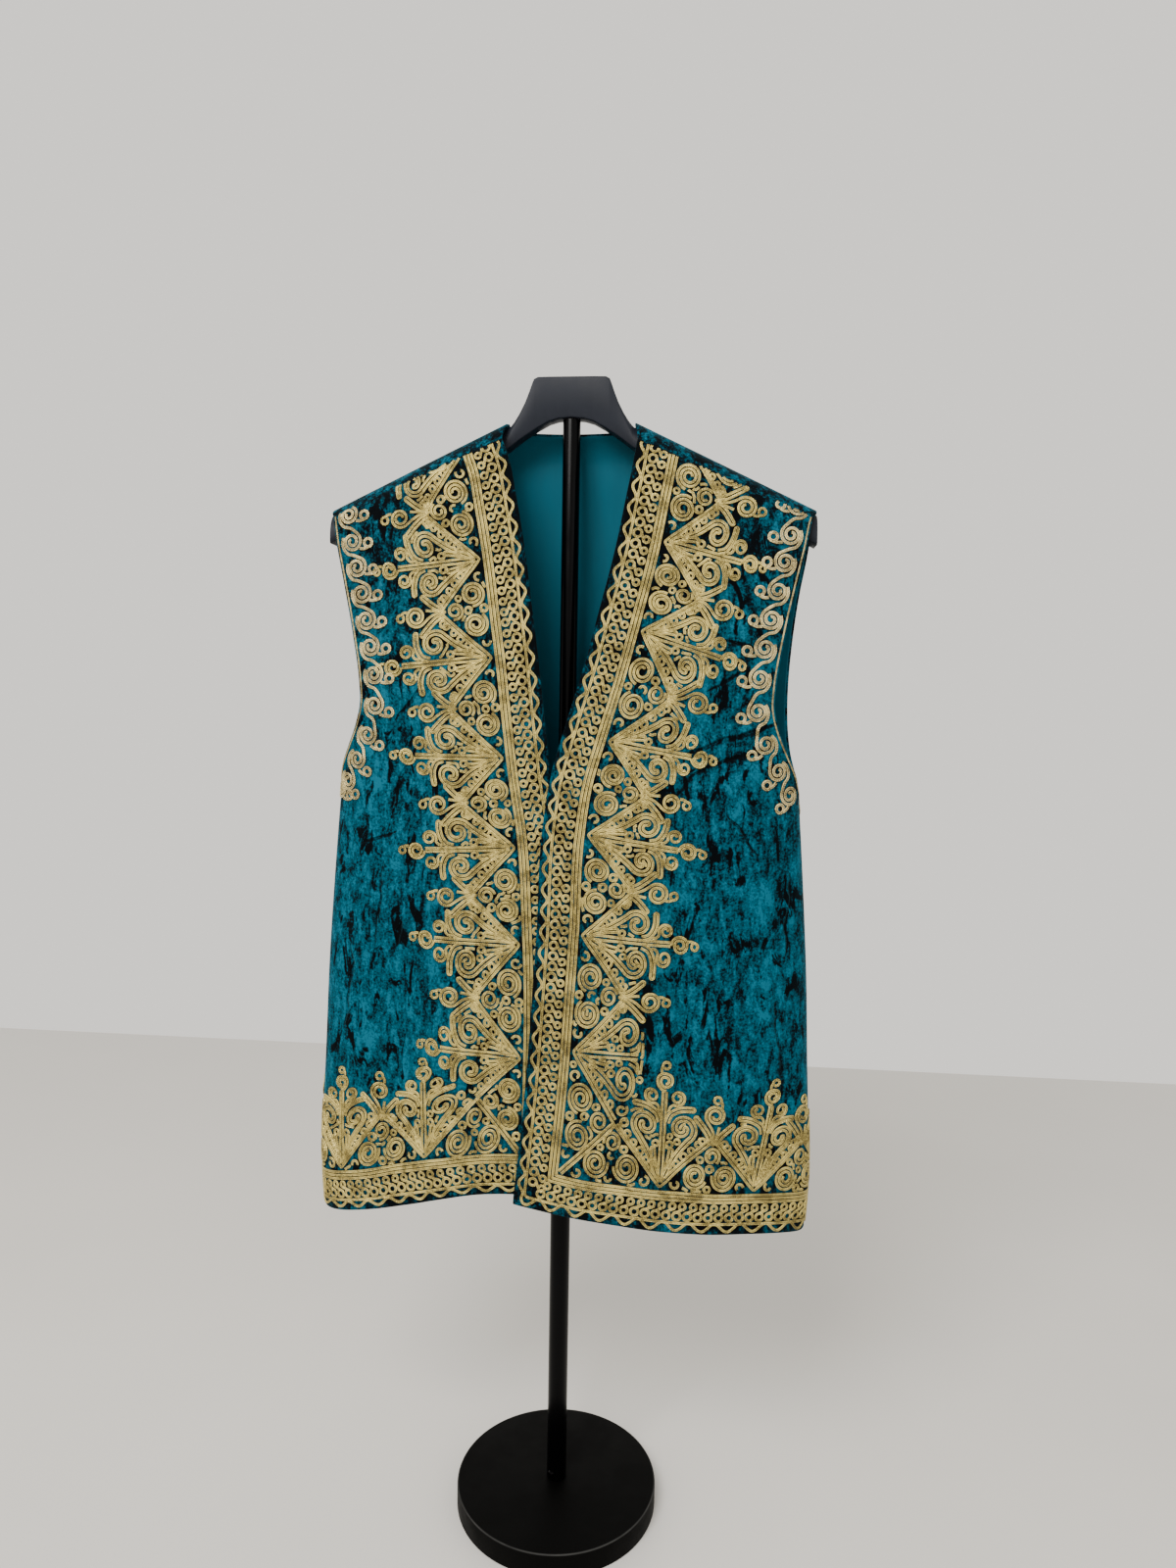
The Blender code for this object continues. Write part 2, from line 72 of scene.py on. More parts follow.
# the form that the cloth hangs on, in metres, the same as the solids'
form = {
    "seamGap": 0.0003,
    "shoulderSeamGap": 0.0006,
    "panelWall": 0.0020,
    "liningWall": 0.0010,
    "neckHalf": 0.0585,
    "neckHeight": 1.0422,
    "tipHalf": 0.2220,
    "tipHeight": 0.9640,
    "rollRise": 0.030,         # height of the rounded top of the shoulder
    "neckDip": 0.0025,
    "underarmHeight": 0.708,
    "lensPower": 0.40,
    "seamRollNeck": math.radians(65),
    "seamRollTip": math.radians(46),
    "neckRoll": math.radians(30),
    "lapDepth": 0.0055,
    "lapTop": (0.80, 0.70),
    "lapSide": (-0.11, -0.045),
}
form["slope"] = (form["neckHeight"] - form["tipHeight"]) / (form["tipHalf"] - form["neckHalf"])
form["tilt"] = math.hypot(1, form["slope"])
# height, half width, depth of the front, depth of the back
sectionTable = np.array([
    (0.290, 0.2325, 0.0600, 0.0480), (0.350, 0.2355, 0.0590, 0.0480),
    (0.400, 0.2340, 0.0580, 0.0470), (0.450, 0.2315, 0.0580, 0.0470),
    (0.540, 0.2275, 0.0580, 0.0470), (0.620, 0.2220, 0.0580, 0.0470),
    (0.690, 0.2165, 0.0570, 0.0460), (0.708, 0.2150, 0.0565, 0.0455),
    (0.740, 0.2190, 0.0555, 0.0450), (0.790, 0.2310, 0.0535, 0.0430),
    (0.850, 0.2430, 0.0490, 0.0400), (0.900, 0.2520, 0.0430, 0.0360),
    (0.964, 0.2620, 0.0350, 0.0320), (1.000, 0.2660, 0.0300, 0.0285),
    (1.045, 0.2700, 0.0260, 0.0260)])
# height, front armhole edge, back armhole edge
armTable = np.array([
    (0.708, 0.2150, 0.2150), (0.726, 0.2105, 0.2125), (0.7425, 0.2030, 0.2085),
    (0.7655, 0.1930, 0.2055), (0.786, 0.1880, 0.2045), (0.803, 0.1885, 0.2045),
    (0.847, 0.1950, 0.2070), (0.891, 0.2040, 0.2120), (0.927, 0.2120, 0.2180),
    (0.955, 0.2180, 0.2215), (0.964, 0.2220, 0.2220)])
# height, edge of the upper front, edge of the under front
edgeTable = np.array([
    (0.300, -0.0375, -0.0040), (0.329, -0.0368, -0.0050), (0.364, -0.0335, -0.0060),
    (0.448, -0.0260, -0.0075), (0.539, -0.0205, -0.0070), (0.584, -0.0180, -0.0050),
    (0.672, -0.0145, 0.0010), (0.725, -0.0070, 0.0095), (0.7685, 0.0050, 0.0148),
    (0.820, 0.0200, 0.0210), (0.872, 0.0330, 0.0288), (0.923, 0.0450, 0.0368),
    (0.975, 0.0545, 0.0470), (1.000, 0.0590, 0.0525), (1.025, 0.0628, 0.0615)])
# across, hem of the upper front, of the under front, of the back
hemTable = np.array([
    (-0.040, 0.3295, 0.3370, 0.3040), (0.000, 0.3225, 0.3370, 0.3040),
    (0.050, 0.3155, 0.3350, 0.3040), (0.089, 0.3105, 0.3316, 0.3035),
    (0.137, 0.3070, 0.3180, 0.3025), (0.188, 0.3055, 0.3045, 0.3010),
    (0.217, 0.3025, 0.2975, 0.2985), (0.240, 0.2970, 0.2940, 0.2960)])
# the largest folds: across, half width, depth, low, high
foldTable = {
    "upper": [(0.115, 0.045, -0.0040, 0.32, 0.62), (0.030, 0.050, 0.0030, 0.30, 0.55),
              (0.150, 0.040, -0.0045, 0.70, 0.84)],
    "under": [(-0.150, 0.045, -0.0045, 0.30, 0.60), (-0.095, 0.040, 0.0030, 0.30, 0.50),
              (-0.140, 0.040, -0.0030, 0.68, 0.80)],
    "back": [(-0.110, 0.050, -0.0050, 0.28, 0.74), (0.000, 0.060, 0.0035, 0.28, 0.62),
             (0.120, 0.050, -0.0045, 0.28, 0.70)],
}
# creases, in millimetres: from (across, height) to (across, height),
# half width, depth (a trough is negative)
creaseTable = {
    "upper": [
        ((188, 752), (120, 722), 7, -1.6), ((193, 742), (135, 706), 6, 1.1),
        ((190, 765), (138, 748), 5, -1.1), ((176, 700), (150, 640), 8, -1.2),
        ((205, 690), (196, 560), 9, -1.5), ((184, 640), (190, 500), 8, 1.2),
        ((166, 560), (160, 470), 8, -1.3), ((214, 520), (208, 400), 8, -1.4),
        ((180, 470), (186, 380), 7, 1.0), ((168, 820), (172, 860), 6, -0.9),
        ((176, 800), (186, 880), 5, 0.8), ((150, 700), (165, 668), 5, 0.8),
        ((197, 460), (200, 350), 6, -1.0), ((140, 660), (150, 600), 6, -0.8)],
    "under": [
        ((-186, 748), (-140, 728), 6, -1.3), ((-190, 738), (-150, 712), 6, 1.0),
        ((-170, 700), (-160, 600), 9, -1.4), ((-200, 680), (-205, 540), 9, -1.5),
        ((-185, 620), (-178, 500), 8, 1.1), ((-160, 560), (-168, 470), 8, -1.2),
        ((-212, 500), (-206, 400), 8, -1.2), ((-190, 480), (-194, 400), 6, 0.9),
        ((-150, 650), (-146, 590), 6, -0.8), ((-172, 850), (-178, 790), 5, -0.8),
        ((-198, 640), (-193, 560), 6, 0.9)],
    "back": [
        ((-60, 960), (-150, 700), 12, -1.8), ((70, 950), (140, 690), 12, -1.6),
        ((-20, 900), (-35, 420), 14, 1.6), ((40, 840), (48, 400), 13, -1.7),
        ((-90, 640), (-80, 380), 11, 1.5), ((95, 620), (88, 390), 11, -1.4),
        ((-175, 720), (-165, 480), 10, -1.5), ((178, 710), (170, 470), 10, 1.4),
        ((-200, 700), (-120, 660), 8, -1.3), ((198, 705), (130, 668), 8, -1.2),
        ((0, 1000), (6, 780), 15, -1.2), ((-45, 1005), (-70, 900), 9, 0.9),
        ((52, 1003), (66, 890), 9, -0.9)],
}


def smoothAt(at, places, values):
    # a smooth curve through a table's column (cubic Hermite)
    at = np.clip(np.asarray(at, float), places[0], places[-1])
    i = np.clip(np.searchsorted(places, at, side="right") - 1, 0, len(places) - 2)
    slopes = np.gradient(values, places)
    step = places[i + 1] - places[i]
    t = (at - places[i]) / step
    return ((2 * t**3 - 3 * t**2 + 1) * values[i] + (t**3 - 2 * t**2 + t) * step * slopes[i]
            + (3 * t**2 - 2 * t**3) * values[i + 1] + (t**3 - t**2) * step * slopes[i + 1])


def ease(value, start, end):
    t = np.clip((value - start) / (end - start), 0.0, 1.0)
    return t * t * (3 - 2 * t)


def halfWidth(z):
    return smoothAt(z, sectionTable[:, 0], sectionTable[:, 1])


def depthAt(z, side):
    front = smoothAt(z, sectionTable[:, 0], sectionTable[:, 2])
    back = smoothAt(z, sectionTable[:, 0], sectionTable[:, 3])
    return np.where(np.asarray(side) < 0, front, back)


def crest(x):
    x = np.abs(x)
    shoulder = form["neckHeight"] - form["slope"] * (x - form["neckHalf"])
    neck = form["neckHeight"] - form["neckDip"] * (1 - (x / form["neckHalf"]) ** 2)
    return np.where(x >= form["neckHalf"], shoulder, neck)


def rolledHeight(x, roll):
    return crest(x) - form["rollRise"] + form["rollRise"] * np.cos(roll)


def rolledOver(flatZ, x):
    # height and roll on the body of a height in the flat pattern
    start = crest(x) - form["rollRise"]
    roll = math.pi / 2 - np.maximum(flatZ - start, 0) / form["rollRise"]
    return np.where(flatZ > start, rolledHeight(x, roll), flatZ), roll


def seamRoll(x):
    t = np.clip((np.abs(x) - form["neckHalf"]) / (form["tipHalf"] - form["neckHalf"]), 0, 1)
    return form["seamRollNeck"] + (form["seamRollTip"] - form["seamRollNeck"]) * t


def armEdge(z, piece):
    column = 2 if piece == "back" else 1
    above = smoothAt(z, armTable[:, 0], armTable[:, column])
    return np.where(np.asarray(z) <= form["underarmHeight"], halfWidth(z), above)


def frontEdge(z, piece):
    return smoothAt(z, edgeTable[:, 0], edgeTable[:, 1 if piece == "upper" else 2])


def hemAt(x, piece):
    column = {"upper": 1, "under": 2, "back": 3}[piece]
    return smoothAt(x if piece == "upper" else np.abs(x), hemTable[:, 0], hemTable[:, column])


def sideOf(piece):
    return 1 if piece == "back" else -1


def foldOut(x, z, piece):
    total = np.zeros(np.broadcast(x, z).shape)
    for across, width, depth, low, high in foldTable[piece]:
        rise = min(0.05, (high - low) / 3)
        total += (depth * np.exp(-((x - across) / (width / 2)) ** 2)
                  * ease(z, low, low + rise) * ease(z, high, high - rise))
    return total


def creaseOut(x, z, piece):
    total = np.zeros(np.broadcast(x, z).shape)
    for start, end, width, depth in creaseTable[piece]:
        start, end = np.array(start) * millimetre, np.array(end) * millimetre
        along = end - start
        length = np.hypot(*along)
        t = ((x - start[0]) * along[0] + (z - start[1]) * along[1]) / length**2
        off = ((x - start[0]) * along[1] - (z - start[1]) * along[0]) / length
        ends = ease(t, -0.12, 0.3) * ease(t, 1.12, 0.7)
        total += depth * millimetre * np.exp(-(off / (width * millimetre)) ** 2) * ends
    return total


def lapIn(x, z, piece):
    if piece != "under":
        return 0.0
    return form["lapDepth"] * ease(z, *form["lapTop"]) * ease(x, *form["lapSide"])


def clothPoint(x, z, roll, side, piece, inset):
    # a point of the body form drawn inset smaller; roll is a quarter turn below the shoulder
    a = halfWidth(z)
    lens = np.maximum(1 - (x / a) ** 2, 0) ** form["lensPower"]
    moved = foldOut(x, z, piece) - lapIn(x, z, piece) + creaseOut(x, z, piece)
    out = (((depthAt(z, side) - inset) * lens + moved * np.minimum(lens * 2, 1)) * np.sin(roll)
           + form["seamGap"] / 2)
    drop = inset * form["tilt"] * np.cos(roll)
    return np.stack(np.broadcast_arrays(x - x * inset / a * np.sin(roll) ** 2,
                                        side * out, z - drop), -1)


# rows and columns of each piece of cloth
clothCut = {
    "frontColumns": 74, "frontRows": 150, "frontRollRows": 5,
    "backColumns": 108, "backRows": 150, "backRollRows": 12, "wrapRows": 4,
    "liningColumns": 84, "liningRows": 96,
    "rimBulge": 0.42,          # how far a folded edge rounds out, in wall thicknesses
    "rimSteps": (0.2, 0.8),    # where it does, as shares of the wall
    "rimSoft": 0.85,
    "liningStart": 0.018,      # the lining's hem above the velvet's
}


def newObject(name, mesh, *finishes):
    for finish in finishes:
        mesh.materials.append(finish)
    thing = bpy.data.objects.new(name, mesh)
    bpy.context.scene.collection.objects.link(thing)
    return thing


def meshVolume(vertices, quads):
    corners = vertices[quads]
    total = 0.0
    for b, c in ((1, 2), (2, 3)):
        total += np.einsum("ij,ij->", corners[:, 0], np.cross(corners[:, b], corners[:, c]))
    return total / 6


def clothWall(name, outer, inner, keep, finishes):
    # a closed wall between two matching skins, its rim rounded as a folded edge
    rows, columns = outer.shape[:2]
    count = rows * columns
    number = np.arange(count).reshape(rows, columns)
    cells = np.stack([number[:-1, :-1], number[:-1, 1:], number[1:, 1:], number[1:, :-1]], -1)
    cells = cells[keep]
    outer, inner = outer.reshape(-1, 3), inner.reshape(-1, 3)
    edges = np.concatenate([cells[:, [i, (i + 1) % 4]] for i in range(4)])
    owner = np.tile(np.arange(len(cells)), 4)
    key = np.sort(edges, 1)[:, 0] * count + np.sort(edges, 1)[:, 1]
    _, first, times = np.unique(key, return_index=True, return_counts=True)
    rim, rimCell = edges[first[times == 1]], owner[first[times == 1]]
    middle = (outer + inner) / 2
    away = np.zeros_like(outer)
    outward = middle[rim].mean(1) - middle[cells[rimCell]].mean(1)
    for end in (0, 1):
        np.add.at(away, rim[:, end], outward)
    away /= np.maximum(np.linalg.norm(away, axis=1, keepdims=True), 1e-9)
    wall = inner - outer
    bulge = away * np.linalg.norm(wall, axis=1, keepdims=True) * clothCut["rimBulge"]
    points = np.concatenate([outer, inner] + [outer + wall * share + bulge * clothCut["rimSoft"]
                                              for share in clothCut["rimSteps"]])
    a, b = rim[:, 0], rim[:, 1]
    quads = [cells, cells[:, ::-1] + count]
    for upper, lower in ((0, 2), (2, 3), (3, 1)):
        quads.append(np.stack([b + upper * count, a + upper * count,
                               a + lower * count, b + lower * count], 1))
    part = np.concatenate([np.full(len(q), k) for k, q in enumerate(quads)])
    quads = np.concatenate(quads)
    used, renumbered = np.unique(quads, return_inverse=True)
    points, quads = points[used], renumbered.reshape(quads.shape)
    if meshVolume(points, quads) < 0:
        quads = quads[:, ::-1]
    mesh = bpy.data.meshes.new(name)
    mesh.from_pydata(points.tolist(), [], quads.tolist())
    if len(finishes) > 1:          # the inner skin has the second finish
        mesh.polygons.foreach_set("material_index", (part == 1).astype(np.int32))
    mesh.shade_smooth()
    return newObject(name, mesh, *finishes)


def hungWall(name, stations, piece, start, wall, keep, finishes):
    # a wall of cloth between two depths inside the body form
    skins = [clothPoint(*stations, piece, inset) for inset in (start, start + wall)]
    return clothWall(name, *skins, keep, finishes)


def settled(across, height, steps=12):
    # the places where a piece's lines across and its heights agree
    z = np.full_like(across(0.6), 0.6)
    for _ in range(steps):
        z = height(across(z))
    return across(z), z


def clothShare(start, end, a, share):
    # columns spread by angle round the flattened body, so they crowd towards the side
    low, high = np.arcsin(np.clip(start / a, -1, 1)), np.arcsin(np.clip(end / a, -1, 1))
    return a * np.sin(low + (high - low) * share)


def straightRise(x, piece, low, rise):
    # heights from the hem, or from low above it, to where the shoulder begins to round
    hem = hemAt(x, piece)
    return hem + low + (crest(x) - form["rollRise"] - hem - low) * rise


def frontStations(piece):
    share = np.linspace(0, 1, clothCut["frontColumns"] + 1)[None, :]
    rise = np.linspace(0, 1, clothCut["frontRows"] + 1)[:, None]
    rollShare = np.linspace(0, 1, clothCut["frontRollRows"] + 1)[1:, None]

    def across(z):
        return clothShare(frontEdge(z, piece), armEdge(z, piece), halfWidth(z), share)

    def rollAt(x):
        end = seamRoll(x) + form["shoulderSeamGap"] / form["rollRise"]
        return math.pi / 2 + (end - math.pi / 2) * rollShare

    x, z = settled(lambda z: across(z) + 0 * rise, lambda x: straightRise(x, piece, 0.0, rise))
    xTop, zTop = settled(lambda z: across(z) + 0 * rollShare,
                         lambda x: rolledHeight(x, rollAt(x)))
    return (np.concatenate([x, xTop]), np.concatenate([z, zTop]),
            np.concatenate([np.full_like(x, math.pi / 2), rollAt(xTop)]))


def makeFront(name, piece, hand, finishes):
    x, z, roll = frontStations(piece)
    keep = np.ones((x.shape[0] - 1, x.shape[1] - 1), bool)
    return hungWall(name, (hand * x, z, roll, -1), piece, 0.0, form["panelWall"], keep, finishes)


def wrapStations(share, rows):
    # the part of the back that runs on over the shoulder to the seam on the front
    value = np.linspace(0, 1, rows + 1)[1:, None]
    reach = form["tipHalf"] - form["neckHalf"]
    along = np.clip((np.abs(share) * form["tipHalf"] - form["neckHalf"]) / reach, 0, None)
    x = np.abs(share) * form["tipHalf"] + 0 * value
    for _ in range(12):
        roll = seamRoll(x) * value
        z = rolledHeight(x, roll)
        zSeam = rolledHeight(x, seamRoll(x))
        edge = np.where(share > 0, frontEdge(zSeam, "upper"), frontEdge(zSeam, "under"))
        inside = form["neckHalf"] + (edge - form["neckHalf"]) * value
        outside = form["tipHalf"] + (armEdge(z, "upper") - form["tipHalf"]) * value
        x = inside + (outside - inside) * along
    return np.sign(share) * x, z, roll, -np.ones_like(x)


def backStations(columns, rows, low, wraps):
    share = np.sin(np.linspace(-math.pi / 2, math.pi / 2, columns + 1))[None, :]
    neck = form["neckHalf"] / form["tipHalf"]
    nearest = int(np.argmin(np.abs(share[0] - neck)))
    share[0, nearest], share[0, columns - nearest] = neck, -neck
    rise = np.linspace(0, 1, rows + 1)[:, None]
    steps = clothCut["backRollRows"]
    neckRow = steps * 2 // 3
    rolls = np.concatenate([np.linspace(math.pi / 2, form["neckRoll"], neckRow + 1)[1:],
                            np.linspace(form["neckRoll"], 0, steps - neckRow + 1)[1:]])[:, None]
    parts = []
    for down, roll, height in ((rise, math.pi / 2, lambda x: straightRise(x, "back", low, rise)),
                               (rolls, rolls, lambda x: rolledHeight(x, rolls))):
        x, z = settled(lambda z: share * armEdge(z, "back") + 0 * down, height)
        parts.append((x, z, roll + 0 * x, np.ones_like(x)))
    if wraps:
        parts.append(wrapStations(share, wraps))
    stations = [np.concatenate(values) for values in zip(*parts)]
    cellShare = (share[0, 1:] + share[0, :-1]) / 2
    keep = np.ones((stations[0].shape[0] - 1, columns), bool)
    keep[rows + neckRow:, np.abs(cellShare) < neck] = False     # the open neck
    return stations, keep


def makeBack(finishes, lining):
    stations, keep = backStations(clothCut["backColumns"], clothCut["backRows"],
                                  0.0, clothCut["wrapRows"])
    panel = hungWall("backPanel", stations, "back", 0.0, form["panelWall"], keep, finishes)
    stations, keep = backStations(clothCut["liningColumns"], clothCut["liningRows"],
                                  clothCut["liningStart"], 0)
    inside = hungWall("backLining", stations, "back", form["panelWall"] + form["seamGap"],
                      form["liningWall"], keep, [lining])
    return panel, inside


# painted light and shade on the velvet pile: a painted highlight on the upper slopes of creases
# and painted shade below them; painted shade between the cords, in their shadow, and as the cloth
# leans back to the shoulder
paintedPileLightAndShade = {
    "reach": 0.003, "bulge": 0.0022, "slope": 0.0014,
    "shades": ((0.6, 0.040, 0.034), (0.7, 0.108, 0.080)),     # how much, from, to, off the edge
    # painted shade towards the shoulder: how much, from, to, in height
    "shoulder": (0.9, 0.80, 0.93),
}


def paintPileLightAndShade(cloth, piece, hand):
    mesh = cloth.data
    places = np.zeros(len(mesh.vertices) * 3)
    mesh.vertices.foreach_get("co", places)
    x, z = places[0::3] * hand, places[2::3]
    # painted light and shade on creases: lighter over ridges and upper slopes, darker in troughs
    # and below
    step = paintedPileLightAndShade["reach"]
    slope = creaseOut(x, z - step, piece) - creaseOut(x, z + step, piece)
    value = np.clip(creaseOut(x, z, piece) / paintedPileLightAndShade["bulge"] + slope / paintedPileLightAndShade["slope"],
                    -1, 1)
    # painted shade between the cords of the border and the scrolls, and towards the shoulder
    inward = z - hemAt(x, piece)
    if piece != "back":
        inward = np.minimum(inward, x - frontEdge(z, piece))
    value -= sum(dark * ease(inward, start, end) for dark, start, end in paintedPileLightAndShade["shades"])
    dark, start, end = paintedPileLightAndShade["shoulder"]
    value -= dark * ease(z, start, end)
    layer = mesh.attributes.new("paintedLightAndShade", "FLOAT", "POINT")
    layer.data.foreach_set("value", value.astype(np.float32))


arcSteps = {"low": 0.290, "high": 1.045, "rows": 76, "columns": 400}


def arcTable(side):
    # how far a point of the cloth lies from the middle, measured along the cloth:
    # distance by angle, its inverse, and the whole distance to the side, per height
    heights = np.linspace(arcSteps["low"], arcSteps["high"], arcSteps["rows"])
    turn = np.linspace(0, math.pi / 2, arcSteps["columns"])
    x = halfWidth(heights)[:, None] * np.sin(turn)
    y = depthAt(heights, side)[:, None] * np.cos(turn) ** (2 * form["lensPower"])
    steps = np.hypot(np.diff(x), np.diff(y))
    arcs = np.concatenate([np.zeros((len(heights), 1)), np.cumsum(steps, 1)], 1)
    shares = np.linspace(0, 1, arcSteps["columns"])
    angles = np.array([np.interp(shares * row[-1], row, turn) for row in arcs])
    return {"heights": heights, "arcs": arcs, "angles": angles, "whole": arcs[:, -1]}


arcTables = {side: arcTable(side) for side in (-1, 1)}


def lookUp(table, heights, z, share):
    # a value between a table's rows (heights) and columns (shares of a row)
    place = np.clip((z - heights[0]) / (heights[1] - heights[0]), 0, len(heights) - 1.001)
    column = np.clip(share * (table.shape[1] - 1), 0, table.shape[1] - 1.001)
    row, line = place.astype(int), column.astype(int)
    up, along = place - row, column - line
    return ((table[row, line] * (1 - along) + table[row, line + 1] * along) * (1 - up)
            + (table[row + 1, line] * (1 - along) + table[row + 1, line + 1] * along) * up)


def acrossFromFlat(flatX, z, side):
    table = arcTables[side]
    share = np.abs(flatX) / np.interp(z, table["heights"], table["whole"])
    angle = lookUp(table["angles"], table["heights"], z, share)
    return np.sign(flatX) * halfWidth(z) * np.sin(angle)


def flatFromAcross(x, z, side):
    table = arcTables[side]
    angle = np.arcsin(np.clip(np.abs(x) / halfWidth(z), 0, 1))
    return np.sign(x) * lookUp(table["arcs"], table["heights"], z, angle / (math.pi / 2))


def hanging(flat, piece, hand):
    # across, height and roll on the body of points of a piece's flat pattern
    side = sideOf(piece)
    z = flat[:, 1]
    for _ in range(3):
        x = acrossFromFlat(flat[:, 0], z, side)
        z, roll = rolledOver(flat[:, 1], x)
    return hand * x, z, roll, side


def onCloth(flat, piece, hand):
    return clothPoint(*hanging(flat, piece, hand), piece, 0)


def clothNormals(flat, piece, hand, step=0.0006):
    sideways, upward = (onCloth(flat + off, piece, hand) - onCloth(flat - off, piece, hand)
                        for off in np.eye(2) * step)
    normal = np.cross(sideways, upward)
    normal /= np.maximum(np.linalg.norm(normal, axis=1, keepdims=True), 1e-12)
    return normal * (-1 if (normal[:, 1] * sideOf(piece)).sum() < 0 else 1)


def insideCut(flat, piece, clear):
    # which points of the flat pattern lie on the piece
    x, z, roll, side = hanging(flat, piece, 1)
    keep = flat[:, 1] > hemAt(x, piece) + clear
    if piece == "back":
        keep &= roll > form["neckRoll"]
    else:
        keep &= x > frontEdge(z, piece) + clear
        keep &= roll > seamRoll(x) + (form["shoulderSeamGap"] + clear) / form["rollRise"]
    edge = flatFromAcross(armEdge(z, piece), z, side)
    outside = np.abs(x) if piece == "back" else x
    return keep & (flatFromAcross(outside, z, side) < edge - clear)


# the cord, in millimetres unless it says metres
cordwork = {
    "width": 2.76,             # a two-ply couched cord
    "spacing": 3.35,           # between the middle lines of cords side by side
    "height": 0.00125,         # metres
    "groove": 0.62,            # depth of the groove between the plies, share of the height
    "lift": 0.3,               # the cord lies this share of the seam gap off the cloth
    "longStep": 3.4,           # longest stretch between points
    "turnStep": math.radians(24),
    "fewestPoints": 5,         # a shorter run is left out
    "curlRadius": 2.7,         # middle line of the small curled loops
    "curlOutside": 4.3,        # the same loop with half its cord
    "curlTurns": 1.16,
    "curlUneven": 0.07,
    "clear": 0.0016,           # cords end this far from a cut edge, metres
    "curlClear": 0.0042,       # and curls stand this far from it, metres
    "thinShare": 0.48,         # size of a thin cord
}
cord = cordwork["spacing"]


def unit(vector):
    return vector / max(float(np.hypot(*vector)), 1e-9)


def toward(angle):
    return np.array((math.cos(angle), math.sin(angle)))


def leftOf(way):
    # one direction, or many, turned a quarter to the left
    return np.stack([-way[..., 1], way[..., 0]], -1)


def pointsAt(at, far, line):
    # the points of a line at some distances along it
    return np.stack([np.interp(at, far, line[:, k]) for k in (0, 1)], 1)


def frameAt(origin, along, inward, wide=1, tall=1):
    # a drawing's own frame; wide and tall are its size on paper
    def place(line):
        line = np.asarray(line, float).reshape(-1, 2)
        return origin + line[:, :1] / wide * along + line[:, 1:] / tall * inward
    return place


def through(points, fine=0.7):
    # a smooth line through a few points
    points = np.array(points, float)
    if len(points) == 2:
        count = max(2, int(np.hypot(*(points[1] - points[0])) / fine))
        return points[0] + (points[1] - points[0]) * np.linspace(0, 1, count)[:, None]
    chord = travel(points)
    at = np.linspace(0, chord[-1], max(4, int(chord[-1] / fine)))
    return np.stack([smoothAt(at, chord, points[:, k]) for k in (0, 1)], 1)


def travel(line):
    return np.concatenate([[0], np.cumsum(np.hypot(*np.diff(line, axis=0).T))])


def headings(line):
    ahead = np.gradient(line, axis=0)
    return ahead / np.maximum(np.hypot(*ahead.T), 1e-9)[:, None]


def beside(line, gap):
    return line + leftOf(headings(line)) * gap


def finger(line, gap=cord):
    # a cord laid out and back: two lines side by side with a round end
    line = np.array(line, float)
    ahead = unit(line[-1] - line[-2])
    off = leftOf(ahead)
    cap = [line[-1] + gap / 2 * (off * math.cos(a) + ahead * math.sin(a))
           for a in np.linspace(0, math.pi, 8)[1:-1]]
    return np.concatenate([beside(line, gap / 2), cap, beside(line, -gap / 2)[::-1]])


def spiral(centre, radius, start, hand, pitch=cord, heart=2.1, oval=1.0):
    # from the outside in; radius is the spiral's outer one
    outer = radius - pitch / 2
    turns = max((outer - heart) / pitch, 0.6)
    angle = np.linspace(0, turns * math.tau, max(10, int(turns * 26)))
    r = outer - pitch * angle / math.tau
    a = start + hand * angle
    return np.array(centre) + np.stack([r * np.cos(a), r * np.sin(a) * oval], 1)


def looped(line, pitch, radius, hand, start):
    # a cord along a line that turns once round into a ring at every pitch
    far = travel(line)
    ahead = np.gradient(line, axis=0)
    parts, last = [], 0
    turn = np.linspace(0, math.tau, 15)[1:-1]
    for k, at in enumerate(np.arange(start, far[-1] - radius, pitch)):
        i = int(np.searchsorted(far, at))
        along = unit(ahead[i])
        off = leftOf(along) * hand
        r = radius * (1 + 0.09 * math.sin(2.3 * k + pitch + start))
        ring = line[i] + r * (np.sin(turn)[:, None] * along + (1 - np.cos(turn))[:, None] * off)
        parts += [line[last:i + 1], ring]
        last = i
    return joined(*parts, line[last:])


def joined(*lines):
    return np.concatenate([np.array(line, float).reshape(-1, 2) for line in lines])


def resampled(line):
    # fewer points on straight stretches, more on tight turns
    line = line[np.concatenate([[True], np.hypot(*np.diff(line, axis=0).T) > 1e-4])]
    steps = np.diff(line, axis=0)
    heading = np.unwrap(np.arctan2(steps[:, 1], steps[:, 0]))
    bend = np.abs(np.diff(heading, prepend=heading[0]))
    effort = np.concatenate([[0], np.cumsum(np.hypot(*steps.T) / cordwork["longStep"]
                                            + bend / cordwork["turnStep"])])
    at = np.linspace(0, effort[-1], max(2, int(math.ceil(effort[-1])) + 1))
    return pointsAt(at, effort, line)


class Needlework:
    # what is couched on one piece: cords, small curled loops as (x, z, size, heading),
    # the fields that loops and spirals still have to fill, guides that they stay off, and
    # thin cords laid along an edge
    def __init__(self):
        self.cords, self.curls, self.fields, self.guides, self.thin = [], [], [], [], []
        self.width = cordwork["width"]

    def lay(self, place, cords, curls, field=()):
        # a motif drawn in its own frame, put on the pattern by place()
        self.cords += [place(line) for line in cords]
        for across, up, size, heading in curls:
            here = place(np.array([(across, up), (across, up) + toward(heading)]))
            turned = math.atan2(*(here[1] - here[0])[::-1])
            self.curls.append((here[0, 0], here[0, 1], size, turned))
        if len(field):
            self.fields.append(place(np.array(field, float)))


def led(points, wind):
    # a cord that comes through a few points and winds on along a spiral or a ring
    return joined(through([*map(tuple, points), tuple(wind[0])])[:-1], wind)


